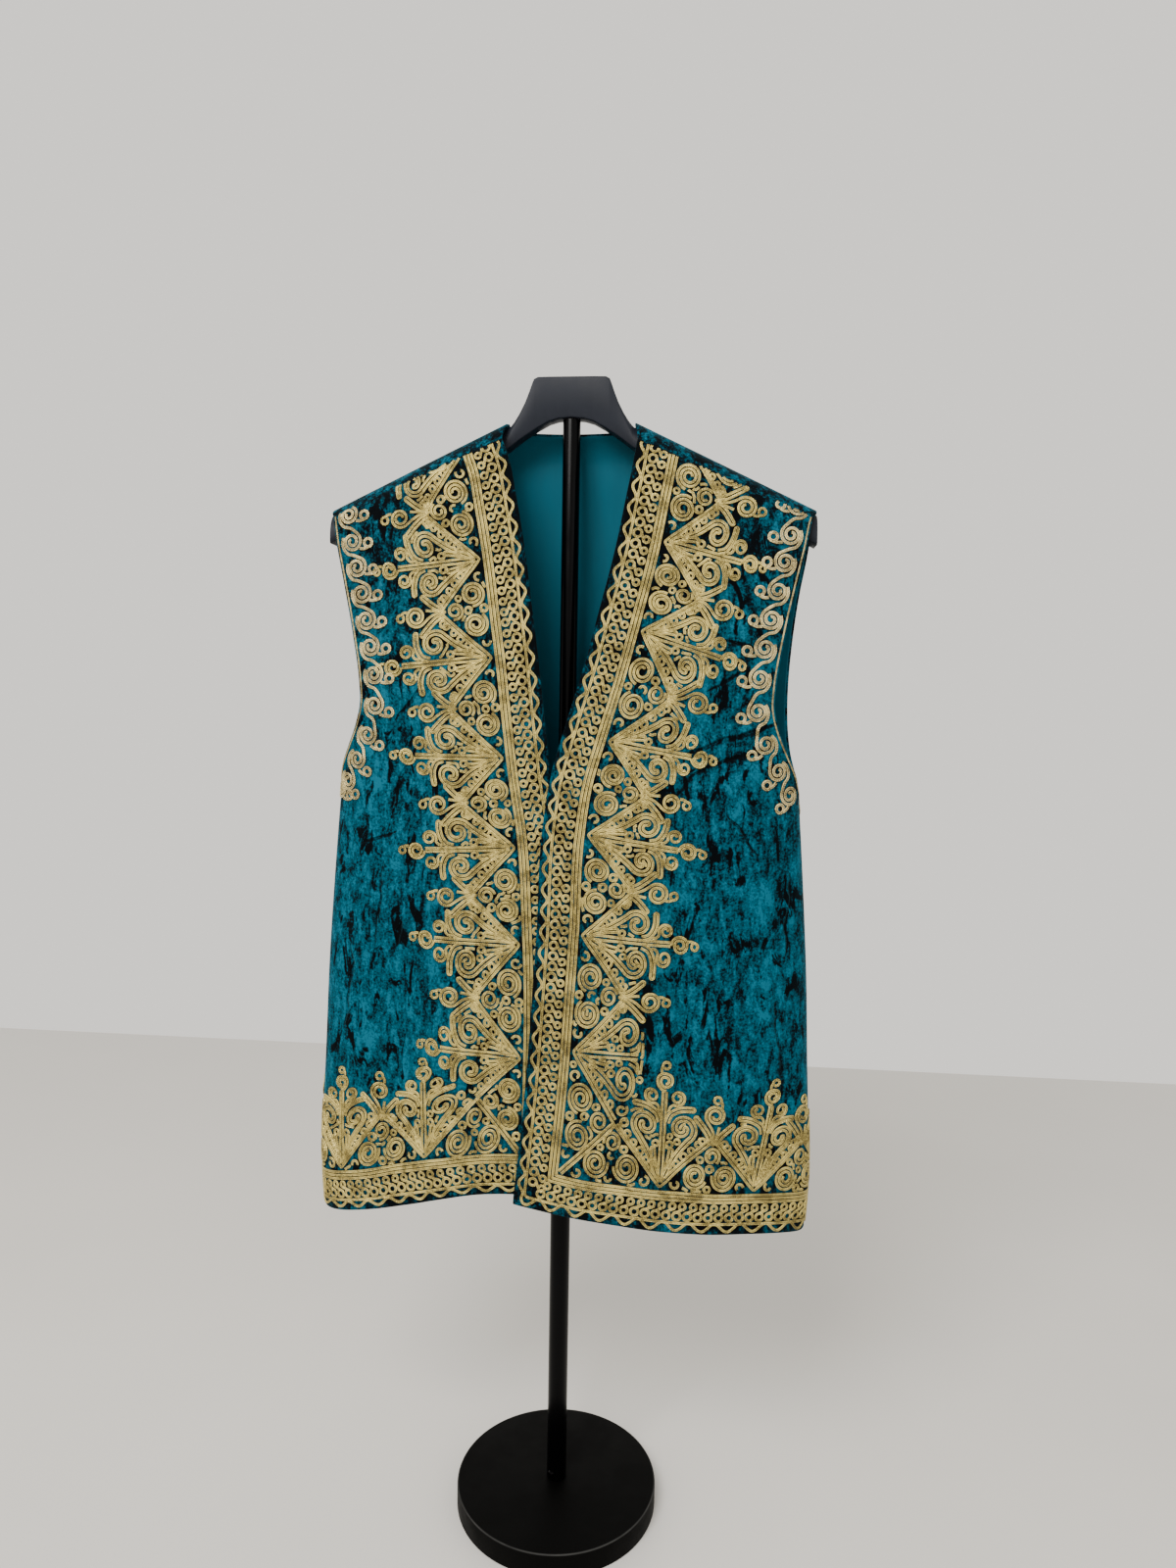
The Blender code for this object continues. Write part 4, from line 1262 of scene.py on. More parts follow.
def couch(name, work, piece, hand, finish, seed):
    # lays a piece's needlework on the hanging cloth
    runs, shares = runsOnCloth(work, piece)
    flat = np.concatenate(runs) * millimetre
    last = np.cumsum([len(run) for run in runs]) - 1
    first = np.setdiff1d(np.arange(len(flat) - 1), last)
    curls = np.array(work.curls, float).reshape(-1, 4)
    curls = curls[insideCut(curls[:, :2] * millimetre, piece, cordwork["curlClear"])]
    spots = curls[:, :2] * millimetre
    heading = np.stack([np.cos(curls[:, 3]), np.sin(curls[:, 3])], 1) * millimetre
    base = onCloth(spots, piece, hand)
    # the cloth's normal at each point of the runs and at each curl
    lie = np.concatenate([clothNormals(flat, piece, hand), clothNormals(spots, piece, hand)])
    points = (np.concatenate([onCloth(flat, piece, hand), base])
              + lie * form["seamGap"] * cordwork["lift"])
    mesh = bpy.data.meshes.new(name)
    mesh.from_pydata(points.tolist(), np.stack([first, first + 1], 1).tolist(), [])
    ahead = np.concatenate([np.zeros((len(flat), 3)),
                            onCloth(spots + heading, piece, hand) - base])
    columns = {
        "lie": ("FLOAT_VECTOR", lie),
        "ahead": ("FLOAT_VECTOR", ahead),
        "size": ("FLOAT", np.concatenate([*shares, curls[:, 2]])),
        "curl": ("BOOLEAN", np.arange(len(points)) >= len(flat)),
    }
    for label, (kind, values) in columns.items():
        layer = mesh.attributes.new(label, kind, "POINT")
        layer.data.foreach_set("vector" if kind == "FLOAT_VECTOR" else "value",
                               values.ravel().astype(bool if kind == "BOOLEAN" else np.float32))
    draft = newObject(name + "Lines", mesh)
    tree, identifiers = couchedCord
    modifier = draft.modifiers.new("couching", "NODES")
    modifier.node_group = tree
    values = {"Cord Width": work.width * millimetre, "Cord Height": cordwork["height"],
              "Groove Height": cordwork["height"] * (1 - cordwork["groove"]),
              "Curl Radius": cordwork["curlRadius"] * millimetre,
              "Curl Turns": cordwork["curlTurns"], "Curl Unevenness": cordwork["curlUneven"],
              "Seed": seed, "Finish": finish}
    for label, value in values.items():
        modifier[identifiers[label]] = value
    seen = bpy.context.evaluated_depsgraph_get()
    result = bpy.data.meshes.new_from_object(draft.evaluated_get(seen), depsgraph=seen)
    draft.modifiers.clear()
    bpy.data.objects.remove(draft, do_unlink=True)
    result.name = name
    for label in columns:
        if label in result.attributes:
            result.attributes.remove(result.attributes[label])
    length = sum(float(travel(run)[-1]) for run in runs) * millimetre
    triangles = sum(len(face.vertices) - 2 for face in result.polygons)
    print(f"{name}: {len(runs)} cords, {length:.1f} m, {len(curls)} curls, {triangles} triangles")
    return newObject(name, result)


def effectGroup(name, inputs, outputs):
    # an empty shader group; its inputs are numbers or vectors
    tree = bpy.data.node_groups.new(name, "ShaderNodeTree")
    for label, value in inputs.items():
        kind = "NodeSocketVector" if isinstance(value, tuple) else "NodeSocketFloat"
        tree.interface.new_socket(label, in_out="INPUT", socket_type=kind).default_value = value
    for label in outputs:
        tree.interface.new_socket(label, in_out="OUTPUT", socket_type="NodeSocketFloat")
    given = tree.nodes.new("NodeGroupInput").outputs

    def put(**values):
        out = tree.nodes.new("NodeGroupOutput")
        for label, value in values.items():
            tree.links.new(value, out.inputs[label])
        return tree
    return given, put, nodeTools(tree)


def crushedPileGroup():
    # velvet pile crushed in patches, upright streaks and short broken lines
    given, put, (node, maths, noise, ranged) = effectGroup(
        "crushedPile", {"Position": (0.0, 0.0, 0.0), "Patch Scale": 44.0, "Streak Scale": 170.0,
                        "Grain Scale": 430.0, "Upright Stretch": 0.62, "Line Amount": 0.5},
        ("Tone", "Height"))
    upright = node("ShaderNodeCombineXYZ", {"X": 1.0, "Y": 1.0, "Z": given["Upright Stretch"]})
    tall = node("ShaderNodeVectorMath", {0: given["Position"], 1: upright.outputs[0]},
                operation="MULTIPLY").outputs[0]
    taller = node("ShaderNodeVectorMath", {0: tall, 1: upright.outputs[0]},
                  operation="MULTIPLY").outputs[0]
    patch = noise(tall, given["Patch Scale"], 3.5, 0.58, 1.1)
    streak = noise(taller, given["Streak Scale"], 2.5, 0.6, 0.5)
    grain = noise(given["Position"], given["Grain Scale"], 3.0, 0.75)
    wander = noise(tall, maths("MULTIPLY", given["Patch Scale"], 0.8), 2.0, 0.5, 2.6)
    line = ranged(maths("ABSOLUTE", maths("SUBTRACT", wander, 0.5)), 0.0, 0.022, 1.0, 0.0)
    broken = ranged(noise(given["Position"], given["Patch Scale"], 1.0), 0.52, 0.62)
    lines = maths("MULTIPLY", maths("MULTIPLY", line, broken), given["Line Amount"])
    hollow = ranged(noise(taller, maths("MULTIPLY", given["Patch Scale"], 1.6), 4.0, 0.60, 0.9),
                    0.55, 0.64, 0.0, 0.95)
    tone = 0.60
    for value, amount in ((patch, 1.6), (streak, 1.9), (grain, 2.2)):
        tone = maths("MULTIPLY_ADD", maths("SUBTRACT", value, 0.5), amount, tone)
    height = maths("MULTIPLY_ADD", patch, 0.8, maths("MULTIPLY", grain, 0.25))
    height = maths("MULTIPLY_ADD", streak, 0.35, height)
    return put(Tone=maths("SUBTRACT", maths("SUBTRACT", tone, lines), hollow),
               Height=maths("MULTIPLY_ADD", lines, -0.6, height))


def pileCreaseGroup():
    # one sharp crease from a place to a place, seen on the front or on the back only
    given, put, (node, maths, noise, ranged) = effectGroup(
        "pileCrease", {"Position": (0.0, 0.0, 0.0), "From": (0.0, 0.0, 0.0),
                       "To": (0.0, 0.0, 0.1), "Width": 0.003, "Side": -1.0}, ("Mask",))

    def vector(operation, first, second):
        return node("ShaderNodeVectorMath", {0: first, 1: second}, operation=operation).outputs

    flat = vector("MULTIPLY", given["Position"], (1, 0, 1))[0]
    wobble = maths("SUBTRACT", noise(given["Position"], 45.0, 1.0), 0.5)
    aside = node("ShaderNodeCombineXYZ", {"X": maths("MULTIPLY", wobble, 0.016)}).outputs[0]
    flat = vector("ADD", flat, aside)[0]
    way = vector("SUBTRACT", given["To"], given["From"])[0]
    here = vector("SUBTRACT", flat, given["From"])[0]
    far = maths("DIVIDE", vector("DOT_PRODUCT", here, way)["Value"],
                vector("DOT_PRODUCT", way, way)["Value"])
    held = node("ShaderNodeClamp", {"Value": far}).outputs[0]
    near = node("ShaderNodeVectorMath", {0: way, "Scale": held}, operation="SCALE").outputs[0]
    away = vector("DISTANCE", here, near)["Value"]
    taper = maths("MULTIPLY", given["Width"],
                  maths("SINE", maths("MULTIPLY_ADD", held, math.pi * 0.8, 0.3)))
    mask = ranged(maths("DIVIDE", away, taper), 0.25, 1.0, 1.0, 0.0)
    depth = node("ShaderNodeSeparateXYZ", {0: given["Position"]}).outputs["Y"]
    facing = maths("GREATER_THAN", maths("MULTIPLY", depth, given["Side"]), 0.0)
    return put(Mask=maths("MULTIPLY", mask, facing))


def twistedCordGroup():
    # a couched two-ply cord: slanting twist on each ply and a stitched groove between them
    given, put, (node, maths, noise, ranged) = effectGroup(
        "twistedCord", {"Along Across": (0.0, 0.0, 0.0), "Position": (0.0, 0.0, 0.0),
                        "Twist Pitch": 0.0021, "Stitch Pitch": 0.00135},
        ("Twist", "Groove", "Mottle", "Height"))
    place = node("ShaderNodeSeparateXYZ", {0: given["Along Across"]}).outputs
    across = maths("ABSOLUTE", maths("SUBTRACT", place["Y"], 0.5))
    turn = maths("MULTIPLY_ADD", across, 2.4, maths("DIVIDE", place["X"], given["Twist Pitch"]))
    twist = maths("MULTIPLY_ADD", maths("SINE", maths("MULTIPLY", turn, math.tau)), 0.5, 0.5)
    beat = maths("DIVIDE", place["X"], given["Stitch Pitch"])
    stitch = ranged(maths("SINE", maths("MULTIPLY", beat, math.tau)), -0.5, 0.6)
    # the groove between the plies and the cord's outer edges, where cords meet, are masked to be
    # painted near black: painted shade, deepest at the dotted stitches
    channel = ranged(across, 0.12, 0.24, 1.0, 0.0)
    groove = maths("MULTIPLY", channel, maths("MULTIPLY_ADD", stitch, 0.34, 0.34))
    edge = ranged(across, 0.32, 0.45, 0.0, 1.0)
    # coarse noise is the thread's own uneven tarnished tone; the fine noise paints glints, a
    # painted highlight
    mottleAndGlint = maths("MULTIPLY_ADD", maths("SUBTRACT", noise(given["Position"], 75.0, 2.0), 0.5),
                   0.9, noise(given["Position"], 420.0, 3.0, 0.75))
    return put(Twist=twist, Groove=maths("MAXIMUM", groove, edge),
               Mottle=ranged(mottleAndGlint, 0.34, 0.66, kind="LINEAR"),
               Height=maths("MULTIPLY_ADD", groove, -0.9, twist))


def fineGrainGroup():
    # moulded or painted skin: fine orange peel, with faint larger unevenness and dust
    given, put, (_, maths, noise, ranged) = effectGroup(
        "fineGrain", {"Position": (0.0, 0.0, 0.0), "Grain Scale": 900.0, "Dust Amount": 0.2},
        ("Grain", "Cloud", "Dust"))
    specks = ranged(noise(given["Position"], 480.0, 3.0, 0.8), 0.66, 0.80)
    return put(Grain=noise(given["Position"], given["Grain Scale"], 2.0),
               Cloud=noise(given["Position"], 26.0, 4.0, 0.6),
               Dust=maths("MULTIPLY", specks, given["Dust Amount"]))


def softWeaveGroup():
    # smooth lining cloth: fine threads both ways and long soft upright creases
    given, put, (node, maths, noise, _) = effectGroup(
        "softWeave", {"Position": (0.0, 0.0, 0.0), "Thread Pitch": 0.0006, "Crease Scale": 38.0},
        ("Threads", "Crease"))
    place = node("ShaderNodeSeparateXYZ", {0: given["Position"]}).outputs
    threads = []
    for axis in ("X", "Z"):
        beat = maths("DIVIDE", place[axis], given["Thread Pitch"])
        threads.append(maths("SINE", maths("MULTIPLY", beat, math.tau)))
    tall = node("ShaderNodeVectorMath", {0: given["Position"], 1: (1.0, 1.0, 0.16)},
                operation="MULTIPLY").outputs[0]
    return put(Threads=maths("MULTIPLY_ADD", maths("MULTIPLY", *threads), 0.5, 0.5),
               Crease=noise(tall, given["Crease Scale"], 3.0, 0.55, 0.6))


finishes = {
    "velvet": {
        "tones": ((0.00, (0.0001, 0.0006, 0.0012)), (0.22, (0.0002, 0.0075, 0.0125)),
                  (0.44, (0.0003, 0.0350, 0.0540)), (0.75, (0.0006, 0.0600, 0.0940)),
                  (1.00, (0.0016, 0.0960, 0.1480))),
        "roughness": (0.95, 0.70), "bump": 0.0014, "specular": 0.07,
        # how much the sharp creases are painted dark (painted shade), and how much the cloth's
        # painted light and shade counts
        "lines": 0.25, "creaseShade": 0.42, "paintedLightAndShade": 0.30,
        "sheen": 0.10, "sheenRough": 0.35, "sheenTint": (0.12, 0.70, 0.90),
        # sharp creases: from (across, height) to (across, height), width, all in mm
        "frontCreases": (((103, 742), (196, 775), 3.2), ((96, 704), (140, 742), 2.4),
                         ((112, 728), (186, 752), 2.6), ((150, 690), (178, 655), 2.2),
                         ((128, 800), (166, 822), 2.4), ((140, 846), (172, 838), 2.6),
                         ((206, 640), (203, 560), 2.4), ((198, 520), (204, 420), 2.6),
                         ((-134, 745), (-156, 690), 4.2), ((-150, 668), (-186, 655), 2.4),
                         ((-165, 640), (-172, 560), 2.2), ((-196, 560), (-201, 480), 2.8),
                         ((-146, 585), (-162, 540), 3.6), ((-128, 800), (-150, 770), 2.6)),
        "backCreases": (((-150, 735), (-60, 690), 3.0), ((60, 720), (152, 745), 2.6),
                        ((-30, 640), (-44, 520), 3.0), ((96, 600), (90, 470), 2.6),
                        ((-120, 560), (-112, 450), 2.4), ((20, 900), (60, 860), 2.6)),
    },
    "lining": {"low": (0.0000, 0.0630, 0.0960), "high": (0.0001, 0.0730, 0.1110),
               "roughness": (0.50, 0.62), "bump": 0.0006, "specular": 0.12, "sheen": 0.03},
    # each cord's groove colour is the near-black painted shade in the groove between the plies and
    # where cords meet
    "goldCord": {"light": (0.960, 0.770, 0.235), "middle": (0.170, 0.124, 0.028),
                 "groove": (0.005, 0.0035, 0.0015), "roughness": (0.56, 0.26),
                 "metallic": 0.45, "bump": 0.00035},
    "paleGoldCord": {"light": (0.930, 0.760, 0.350), "middle": (0.190, 0.138, 0.048),
                     "groove": (0.006, 0.004, 0.002), "roughness": (0.58, 0.30),
                     "metallic": 0.36, "bump": 0.00030},
    "footPaint": {"colour": (0.0010, 0.0010, 0.0009), "roughness": (0.45, 0.62),
                  "specular": 0.04, "bump": 0.00006, "dust": 0.05, "grain": 700.0},
    "tubePaint": {"colour": (0.0006, 0.0006, 0.0008), "roughness": (0.16, 0.24),
                  "specular": 0.07, "bump": 0.00002, "dust": 0.02, "grain": 900.0},
    # light grey of the dust specks, and of the painted highlight on the foot's top rim
    "dustAndRimHighlight": (0.050, 0.050, 0.048),
    "hangerPlastic": {"colour": (0.0088, 0.0106, 0.0160), "roughness": (0.42, 0.54),
                      "specular": 0.14, "bump": 0.00004, "dust": 0.03, "grain": 1100.0},
}
effects = {"crushedPile": crushedPileGroup(), "pileCrease": pileCreaseGroup(),
           "twistedCord": twistedCordGroup(), "fineGrain": fineGrainGroup(),
           "softWeave": softWeaveGroup()}


def startFinish(name, fixed=None):
    # a material; fixed are its shader's own numbers, the same all over the surface
    material = bpy.data.materials.new(name)
    material.use_nodes = True
    shader = material.node_tree.nodes["Principled BSDF"]
    for label, value in (fixed or {}).items():
        shader.inputs[label].default_value = value
    tools = nodeTools(material.node_tree)
    position = tools[0]("ShaderNodeTexCoord").outputs["Object"]
    return material, tools, position


def effect(node, name, values):
    made = node("ShaderNodeGroup", node_tree=effects[name])
    for label, value in values.items():
        if isinstance(value, bpy.types.NodeSocket):
            made.id_data.links.new(value, made.inputs[label])
        else:
            made.inputs[label].default_value = value
    return made.outputs


def mixed(node, factor, under, over):
    return node("ShaderNodeMix", {"Factor": factor, 6: under, 7: (*over, 1.0)},
                data_type="RGBA").outputs[2]


def colourRamp(node, factor, stops):
    ramp = node("ShaderNodeValToRGB", {"Fac": factor})
    while len(ramp.color_ramp.elements) < len(stops):
        ramp.color_ramp.elements.new(0.5)
    for element, (place, colour) in zip(ramp.color_ramp.elements, stops):
        element.position, element.color = place, (*colour, 1.0)
    return ramp.outputs["Color"]


def wireFinish(material, node, colour, roughness, height, distance):
    links, shader = material.node_tree.links, material.node_tree.nodes["Principled BSDF"]
    bump = node("ShaderNodeBump", {"Height": height, "Distance": distance, "Strength": 1.0})
    for label, value in (("Base Color", colour), ("Roughness", roughness),
                         ("Normal", bump.outputs[0])):
        links.new(value, shader.inputs[label])
    return material


def velvetFinish():
    look = finishes["velvet"]
    material, (node, maths, _, ranged), position = startFinish("velvet", {
        "Specular IOR Level": look["specular"], "Sheen Weight": look["sheen"],
        "Sheen Roughness": look["sheenRough"], "Sheen Tint": (*look["sheenTint"], 1.0)})
    pile = effect(node, "crushedPile", {"Position": position, "Line Amount": look["lines"]})
    creases = None
    for side, name in ((-1.0, "frontCreases"), (1.0, "backCreases")):
        for (x1, z1), (x2, z2), width in look[name]:
            mask = effect(node, "pileCrease", {
                "Position": position, "From": (x1 * millimetre, 0.0, z1 * millimetre),
                "To": (x2 * millimetre, 0.0, z2 * millimetre), "Width": width * millimetre,
                "Side": side})["Mask"]
            creases = mask if creases is None else maths("MAXIMUM", creases, mask)
    paintedLightAndShade = node("ShaderNodeAttribute", attribute_name="paintedLightAndShade").outputs["Fac"]
    # the sharp creases are painted darker: painted shade in the folds; then each point's painted
    # light and shade is added
    tone = maths("MULTIPLY_ADD", creases, -look["creaseShade"], pile["Tone"])
    tone = maths("MULTIPLY_ADD", paintedLightAndShade, look["paintedLightAndShade"], tone, clamp=True)
    height = maths("MULTIPLY_ADD", creases, -1.2, pile["Height"])
    return wireFinish(material, node, colourRamp(node, tone, look["tones"]),
                      ranged(tone, 0.1, 0.9, *look["roughness"]), height, look["bump"])


def liningFinish():
    look = finishes["lining"]
    material, (node, maths, _, ranged), position = startFinish(
        "lining", {"Specular IOR Level": look["specular"], "Sheen Weight": look["sheen"]})
    weave = effect(node, "softWeave", {"Position": position})
    # the soft upright creases lighten and darken the colour: painted shade of the folds; the
    # threads are the weave's own pattern
    shade = maths("MULTIPLY_ADD", weave["Threads"], 0.12, ranged(weave["Crease"], 0.3, 0.7))
    colour = colourRamp(node, shade, ((0.0, look["low"]), (1.0, look["high"])))
    height = maths("MULTIPLY_ADD", weave["Threads"], 0.06, weave["Crease"])
    return wireFinish(material, node, colour,
                      ranged(weave["Threads"], 0.0, 1.0, *look["roughness"]), height, look["bump"])


def cordFinish(name):
    look = finishes[name]
    material, (node, maths, _, ranged), position = startFinish(
        name, {"Metallic": look["metallic"]})
    laid = node("ShaderNodeUVMap", uv_map="cordUv").outputs[0]
    braid = effect(node, "twistedCord", {"Along Across": laid, "Position": position})
    # the twist paints lit ply crowns and shaded ply sides into the colour (painted highlight and
    # shade); the mottle adds tone and painted glints
    shade = maths("MULTIPLY_ADD", braid["Twist"], 0.38, maths("MULTIPLY", braid["Mottle"], 0.62))
    colour = colourRamp(node, shade, ((0.12, look["middle"]), (0.85, look["light"])))
    # painted shade: the groove and the cord's edges are mixed towards the near-black groove colour
    colour = mixed(node, maths("MULTIPLY", braid["Groove"], 0.96), colour, look["groove"])
    return wireFinish(material, node, colour, ranged(shade, 0.2, 0.9, *look["roughness"]),
                      braid["Height"], look["bump"])


def paintFinish(name, rim=None):
    # rim is the radius and height of an edge given a painted highlight, a thin lighter ring
    look = finishes[name]
    material, (node, maths, _, ranged), position = startFinish(
        name, {"Specular IOR Level": look["specular"]})
    skin = effect(node, "fineGrain", {"Position": position, "Grain Scale": look["grain"],
                                      "Dust Amount": look["dust"]})
    tint = maths("MULTIPLY_ADD", skin["Cloud"], 0.5, 0.75)
    colour = node("ShaderNodeVectorMath", {0: look["colour"], "Scale": tint},
                  operation="SCALE").outputs[0]
    dustAndHighlight = skin["Dust"]
    if rim:
        parts = node("ShaderNodeSeparateXYZ", {0: position}).outputs
        radius = maths("SQRT", maths("ADD", maths("MULTIPLY", parts["X"], parts["X"]),
                                     maths("MULTIPLY", parts["Y"], parts["Y"])))
        # a thin lighter ring along the foot's top edge: a painted highlight, not wear
        edge = maths("MULTIPLY", ranged(radius, rim[0] - 0.0016, rim[0] - 0.0006),
                     ranged(parts["Z"], rim[1] - 0.0014, rim[1] - 0.0004))
        edge = maths("MULTIPLY", edge, ranged(skin["Cloud"], 0.3, 0.7, 0.35, 0.75))
        dustAndHighlight = maths("MAXIMUM", dustAndHighlight, edge)
    return wireFinish(material, node, mixed(node, dustAndHighlight, colour, finishes["dustAndRimHighlight"]),
                      ranged(skin["Cloud"], 0.3, 0.7, *look["roughness"]), skin["Grain"],
                      look["bump"])


stand = {
    "foot": {"radius": 0.0977, "thick": 0.022, "round": 0.0016, "sides": 128},
    "lower": {"bore": 0.0083, "radius": 0.0095, "low": 0.0223, "high": 0.560},
    "upper": {"bore": 0.0070, "radius": 0.0080, "low": 0.340, "high": 1.0450},
    "collar": {"radius": 0.0130, "low": 0.532, "high": 0.560, "round": 0.0014, "grooves": 5},
    "screw": {"radius": 0.0030, "rise": 0.0026, "sunk": 0.0008, "height": 0.0300,
              "turned": math.radians(-118), "sides": 24},
    "tubeSides": 64, "tubeRound": 0.0004,
}
# the hanger: across, top, underside, half thickness, corner
hangerStations = np.array([
    (0.0000, 1.0825, 1.0460, 0.0085, 0.0025), (0.0120, 1.0825, 1.0450, 0.0085, 0.0025),
    (0.0205, 1.0825, 1.0425, 0.0085, 0.0025), (0.0310, 1.0823, 1.0368, 0.0085, 0.0025),
    (0.0345, 1.0805, 1.0345, 0.0085, 0.0025), (0.0360, 1.0770, 1.0336, 0.0085, 0.0025),
    (0.0385, 1.0700, 1.0320, 0.0085, 0.0028), (0.0425, 1.0600, 1.0295, 0.0085, 0.0032),
    (0.0475, 1.0505, 1.0260, 0.0086, 0.0040), (0.0525, 1.0430, 1.0222, 0.0088, 0.0055),
    (0.0570, 1.0382, 1.0188, 0.0092, 0.0080)])
hanger = {"armTip": 0.2228, "tipUnderside": 0.9320, "tipHalf": 0.0145, "topRise": 0.55,
          "underCorner": 0.0020, "cornerSteps": 6, "armSteps": 28}


def rounded(corner, start, end, radius, steps=5):
    # a rounded corner of a profile, between the directions it comes from and goes to
    corner, start, end = (np.array(p, float) for p in (corner, start, end))
    before = corner + unit(start - corner) * radius
    after = corner + unit(end - corner) * radius
    t = np.linspace(0, 1, steps + 1)[:, None]
    weight = (1 - t) ** 2, 2 * t * (1 - t), t**2
    return list(map(tuple, weight[0] * before + weight[1] * corner + weight[2] * after))


def finishedShape(name, shape, finish, sharpFrom=32):
    bmesh.ops.recalc_face_normals(shape, faces=shape.faces)
    mesh = bpy.data.meshes.new(name)
    shape.to_mesh(mesh)
    shape.free()
    mesh.shade_smooth()
    mesh.set_sharp_from_angle(angle=math.radians(sharpFrom))
    return newObject(name, mesh, finish)


def turnedPiece(name, profile, sides, finish):
    # a closed profile of (radius, height) turned about the pole's axis
    shape = bmesh.new()
    turn = np.arange(sides) * math.tau / sides
    rows = []
    for radius, height in profile:
        row = [shape.verts.new((radius * math.cos(a), radius * math.sin(a), height))
               for a in (turn if radius else turn[:1])]
        rows.append(row * (sides // len(row)))     # one point, many times, on the axis
    for first, second in zip(rows, rows[1:] + rows[:1]):
        for k in range(sides):
            corners = dict.fromkeys((first[k - 1], first[k], second[k], second[k - 1]))
            if len(corners) > 2:
                shape.faces.new(list(corners))
    return finishedShape(name, shape, finish)


def roundedProfile(bore, radius, low, high, soft, steps=5, between=()):
    # half the section of a ring or a disc, its outer corners rounded
    return [(bore, low), *rounded((radius, low), (bore, low), (radius, high), soft, steps),
            *between, *rounded((radius, high), (radius, low), (bore, high), soft, steps),
            (bore, high)]


def makeTube(name, size, finish):
    profile = roundedProfile(size["bore"], size["radius"], size["low"], size["high"],
                             stand["tubeRound"], 3)
    return turnedPiece(name, profile, stand["tubeSides"], finish)


def makeStand(footPaint, tubePaint):
    size = stand["foot"]
    profile = roundedProfile(0, size["radius"], 0, size["thick"], size["round"])
    foot = turnedPiece("standFoot", profile, size["sides"], footPaint)
    lower = makeTube("lowerTube", stand["lower"], tubePaint)
    upper = makeTube("upperTube", stand["upper"], tubePaint)
    size = stand["collar"]
    radius, low, high = size["radius"], size["low"], size["high"]
    grooves = []
    for height in np.linspace(low, high, size["grooves"] + 2)[1:-1]:     # for the fingers
        grooves += [(radius - depth, height + up) for depth, up in
                    ((0, -0.0011), (0.0006, -0.0004), (0.0006, 0.0004), (0, 0.0011))]
    profile = roundedProfile(stand["lower"]["radius"] + form["seamGap"], radius, low, high,
                             size["round"], between=grooves)
    collar = turnedPiece("lockCollar", profile, stand["tubeSides"], tubePaint)
    return foot, lower, collar, upper, makeScrew(tubePaint)


def makeScrew(finish):
    # the grub screw that holds the pole in the foot: a low domed head with a round socket
    size = stand["screw"]
    shape = bmesh.new()
    rows = []
    start = stand["lower"]["radius"] - size["sunk"]
    turn = np.arange(size["sides"]) * math.tau / size["sides"]
    for share, out in ((1.0, 0.0), (1.0, 0.45), (0.86, 0.80), (0.55, 0.94), (0.50, 0.70)):
        x, radius = start + (size["sunk"] + size["rise"]) * out, size["radius"] * share
        rows.append([shape.verts.new((x, radius * math.cos(a),
                                      size["height"] + radius * math.sin(a))) for a in turn])
    for first, second in zip(rows, rows[1:]):
        for k in range(size["sides"]):
            shape.faces.new((first[k - 1], first[k], second[k], second[k - 1]))
    shape.faces.new(rows[0][::-1])
    shape.faces.new(rows[-1])
    bmesh.ops.rotate(shape, verts=shape.verts, cent=(0, 0, 0),
                     matrix=Matrix.Rotation(size["turned"], 3, "Z"))
    return finishedShape("footScrew", shape, finish)


def hangerPlan():
    # across, top, underside, half thickness and corner of each section, middle to tip
    size = hanger
    across = hangerStations[:, 0]
    fine = np.unique(np.concatenate([np.linspace(a, b, 5) for a, b in zip(across, across[1:])]))
    stations = [[x] + [float(np.interp(x, across, hangerStations[:, k])) for k in range(1, 5)]
                for x in fine]
    last = stations[-1]
    stack = form["panelWall"] + form["liningWall"] + 2 * form["seamGap"]
    for share in np.linspace(0, 1, size["armSteps"] + 1)[1:]:
        x = last[0] + (size["armTip"] - last[0]) * share
        half = last[3] + (size["tipHalf"] - last[3]) * math.sin(share * math.pi / 2)
        top = float(crest(max(x, form["neckHalf"]))) - stack * form["tilt"]
        under = last[2] + (size["tipUnderside"] - last[2]) * share
        stations.append([x, top, under, half, half])
    return [[-s[0], *s[1:]] for s in stations[:0:-1]] + stations


def makeHanger(finish):
    size = hanger
    shape = bmesh.new()
    rings = []
    for x, top, under, half, corner in hangerPlan():
        radius = min(corner, half - 0.0004)
        rise = radius * (1 + size["topRise"] * radius / half)
        ring = []
        for hand in (1, -1):
            for step in range(size["cornerSteps"] + 1)[::hand]:
                angle = math.pi / 2 * step / size["cornerSteps"]
                ring.append((x, hand * (half - radius + radius * math.cos(angle)),
                             top - rise + rise * math.sin(angle)))
        low = size["underCorner"]
        for y, z in ((-half, low), (-half + low * 0.3, low * 0.3), (low - half, 0),
                     (half - low, 0), (half - low * 0.3, low * 0.3), (half, low)):
            ring.append((x, y, under + z))
        rings.append([shape.verts.new(place) for place in ring])
    for first, second in zip(rings, rings[1:]):
        for k in range(len(first)):
            after = (k + 1) % len(first)
            shape.faces.new((first[k], first[after], second[after], second[k]))
    shape.faces.new(rings[0][::-1])
    shape.faces.new(rings[-1])
    return finishedShape("hangerYoke", shape, finish, sharpFrom=38)


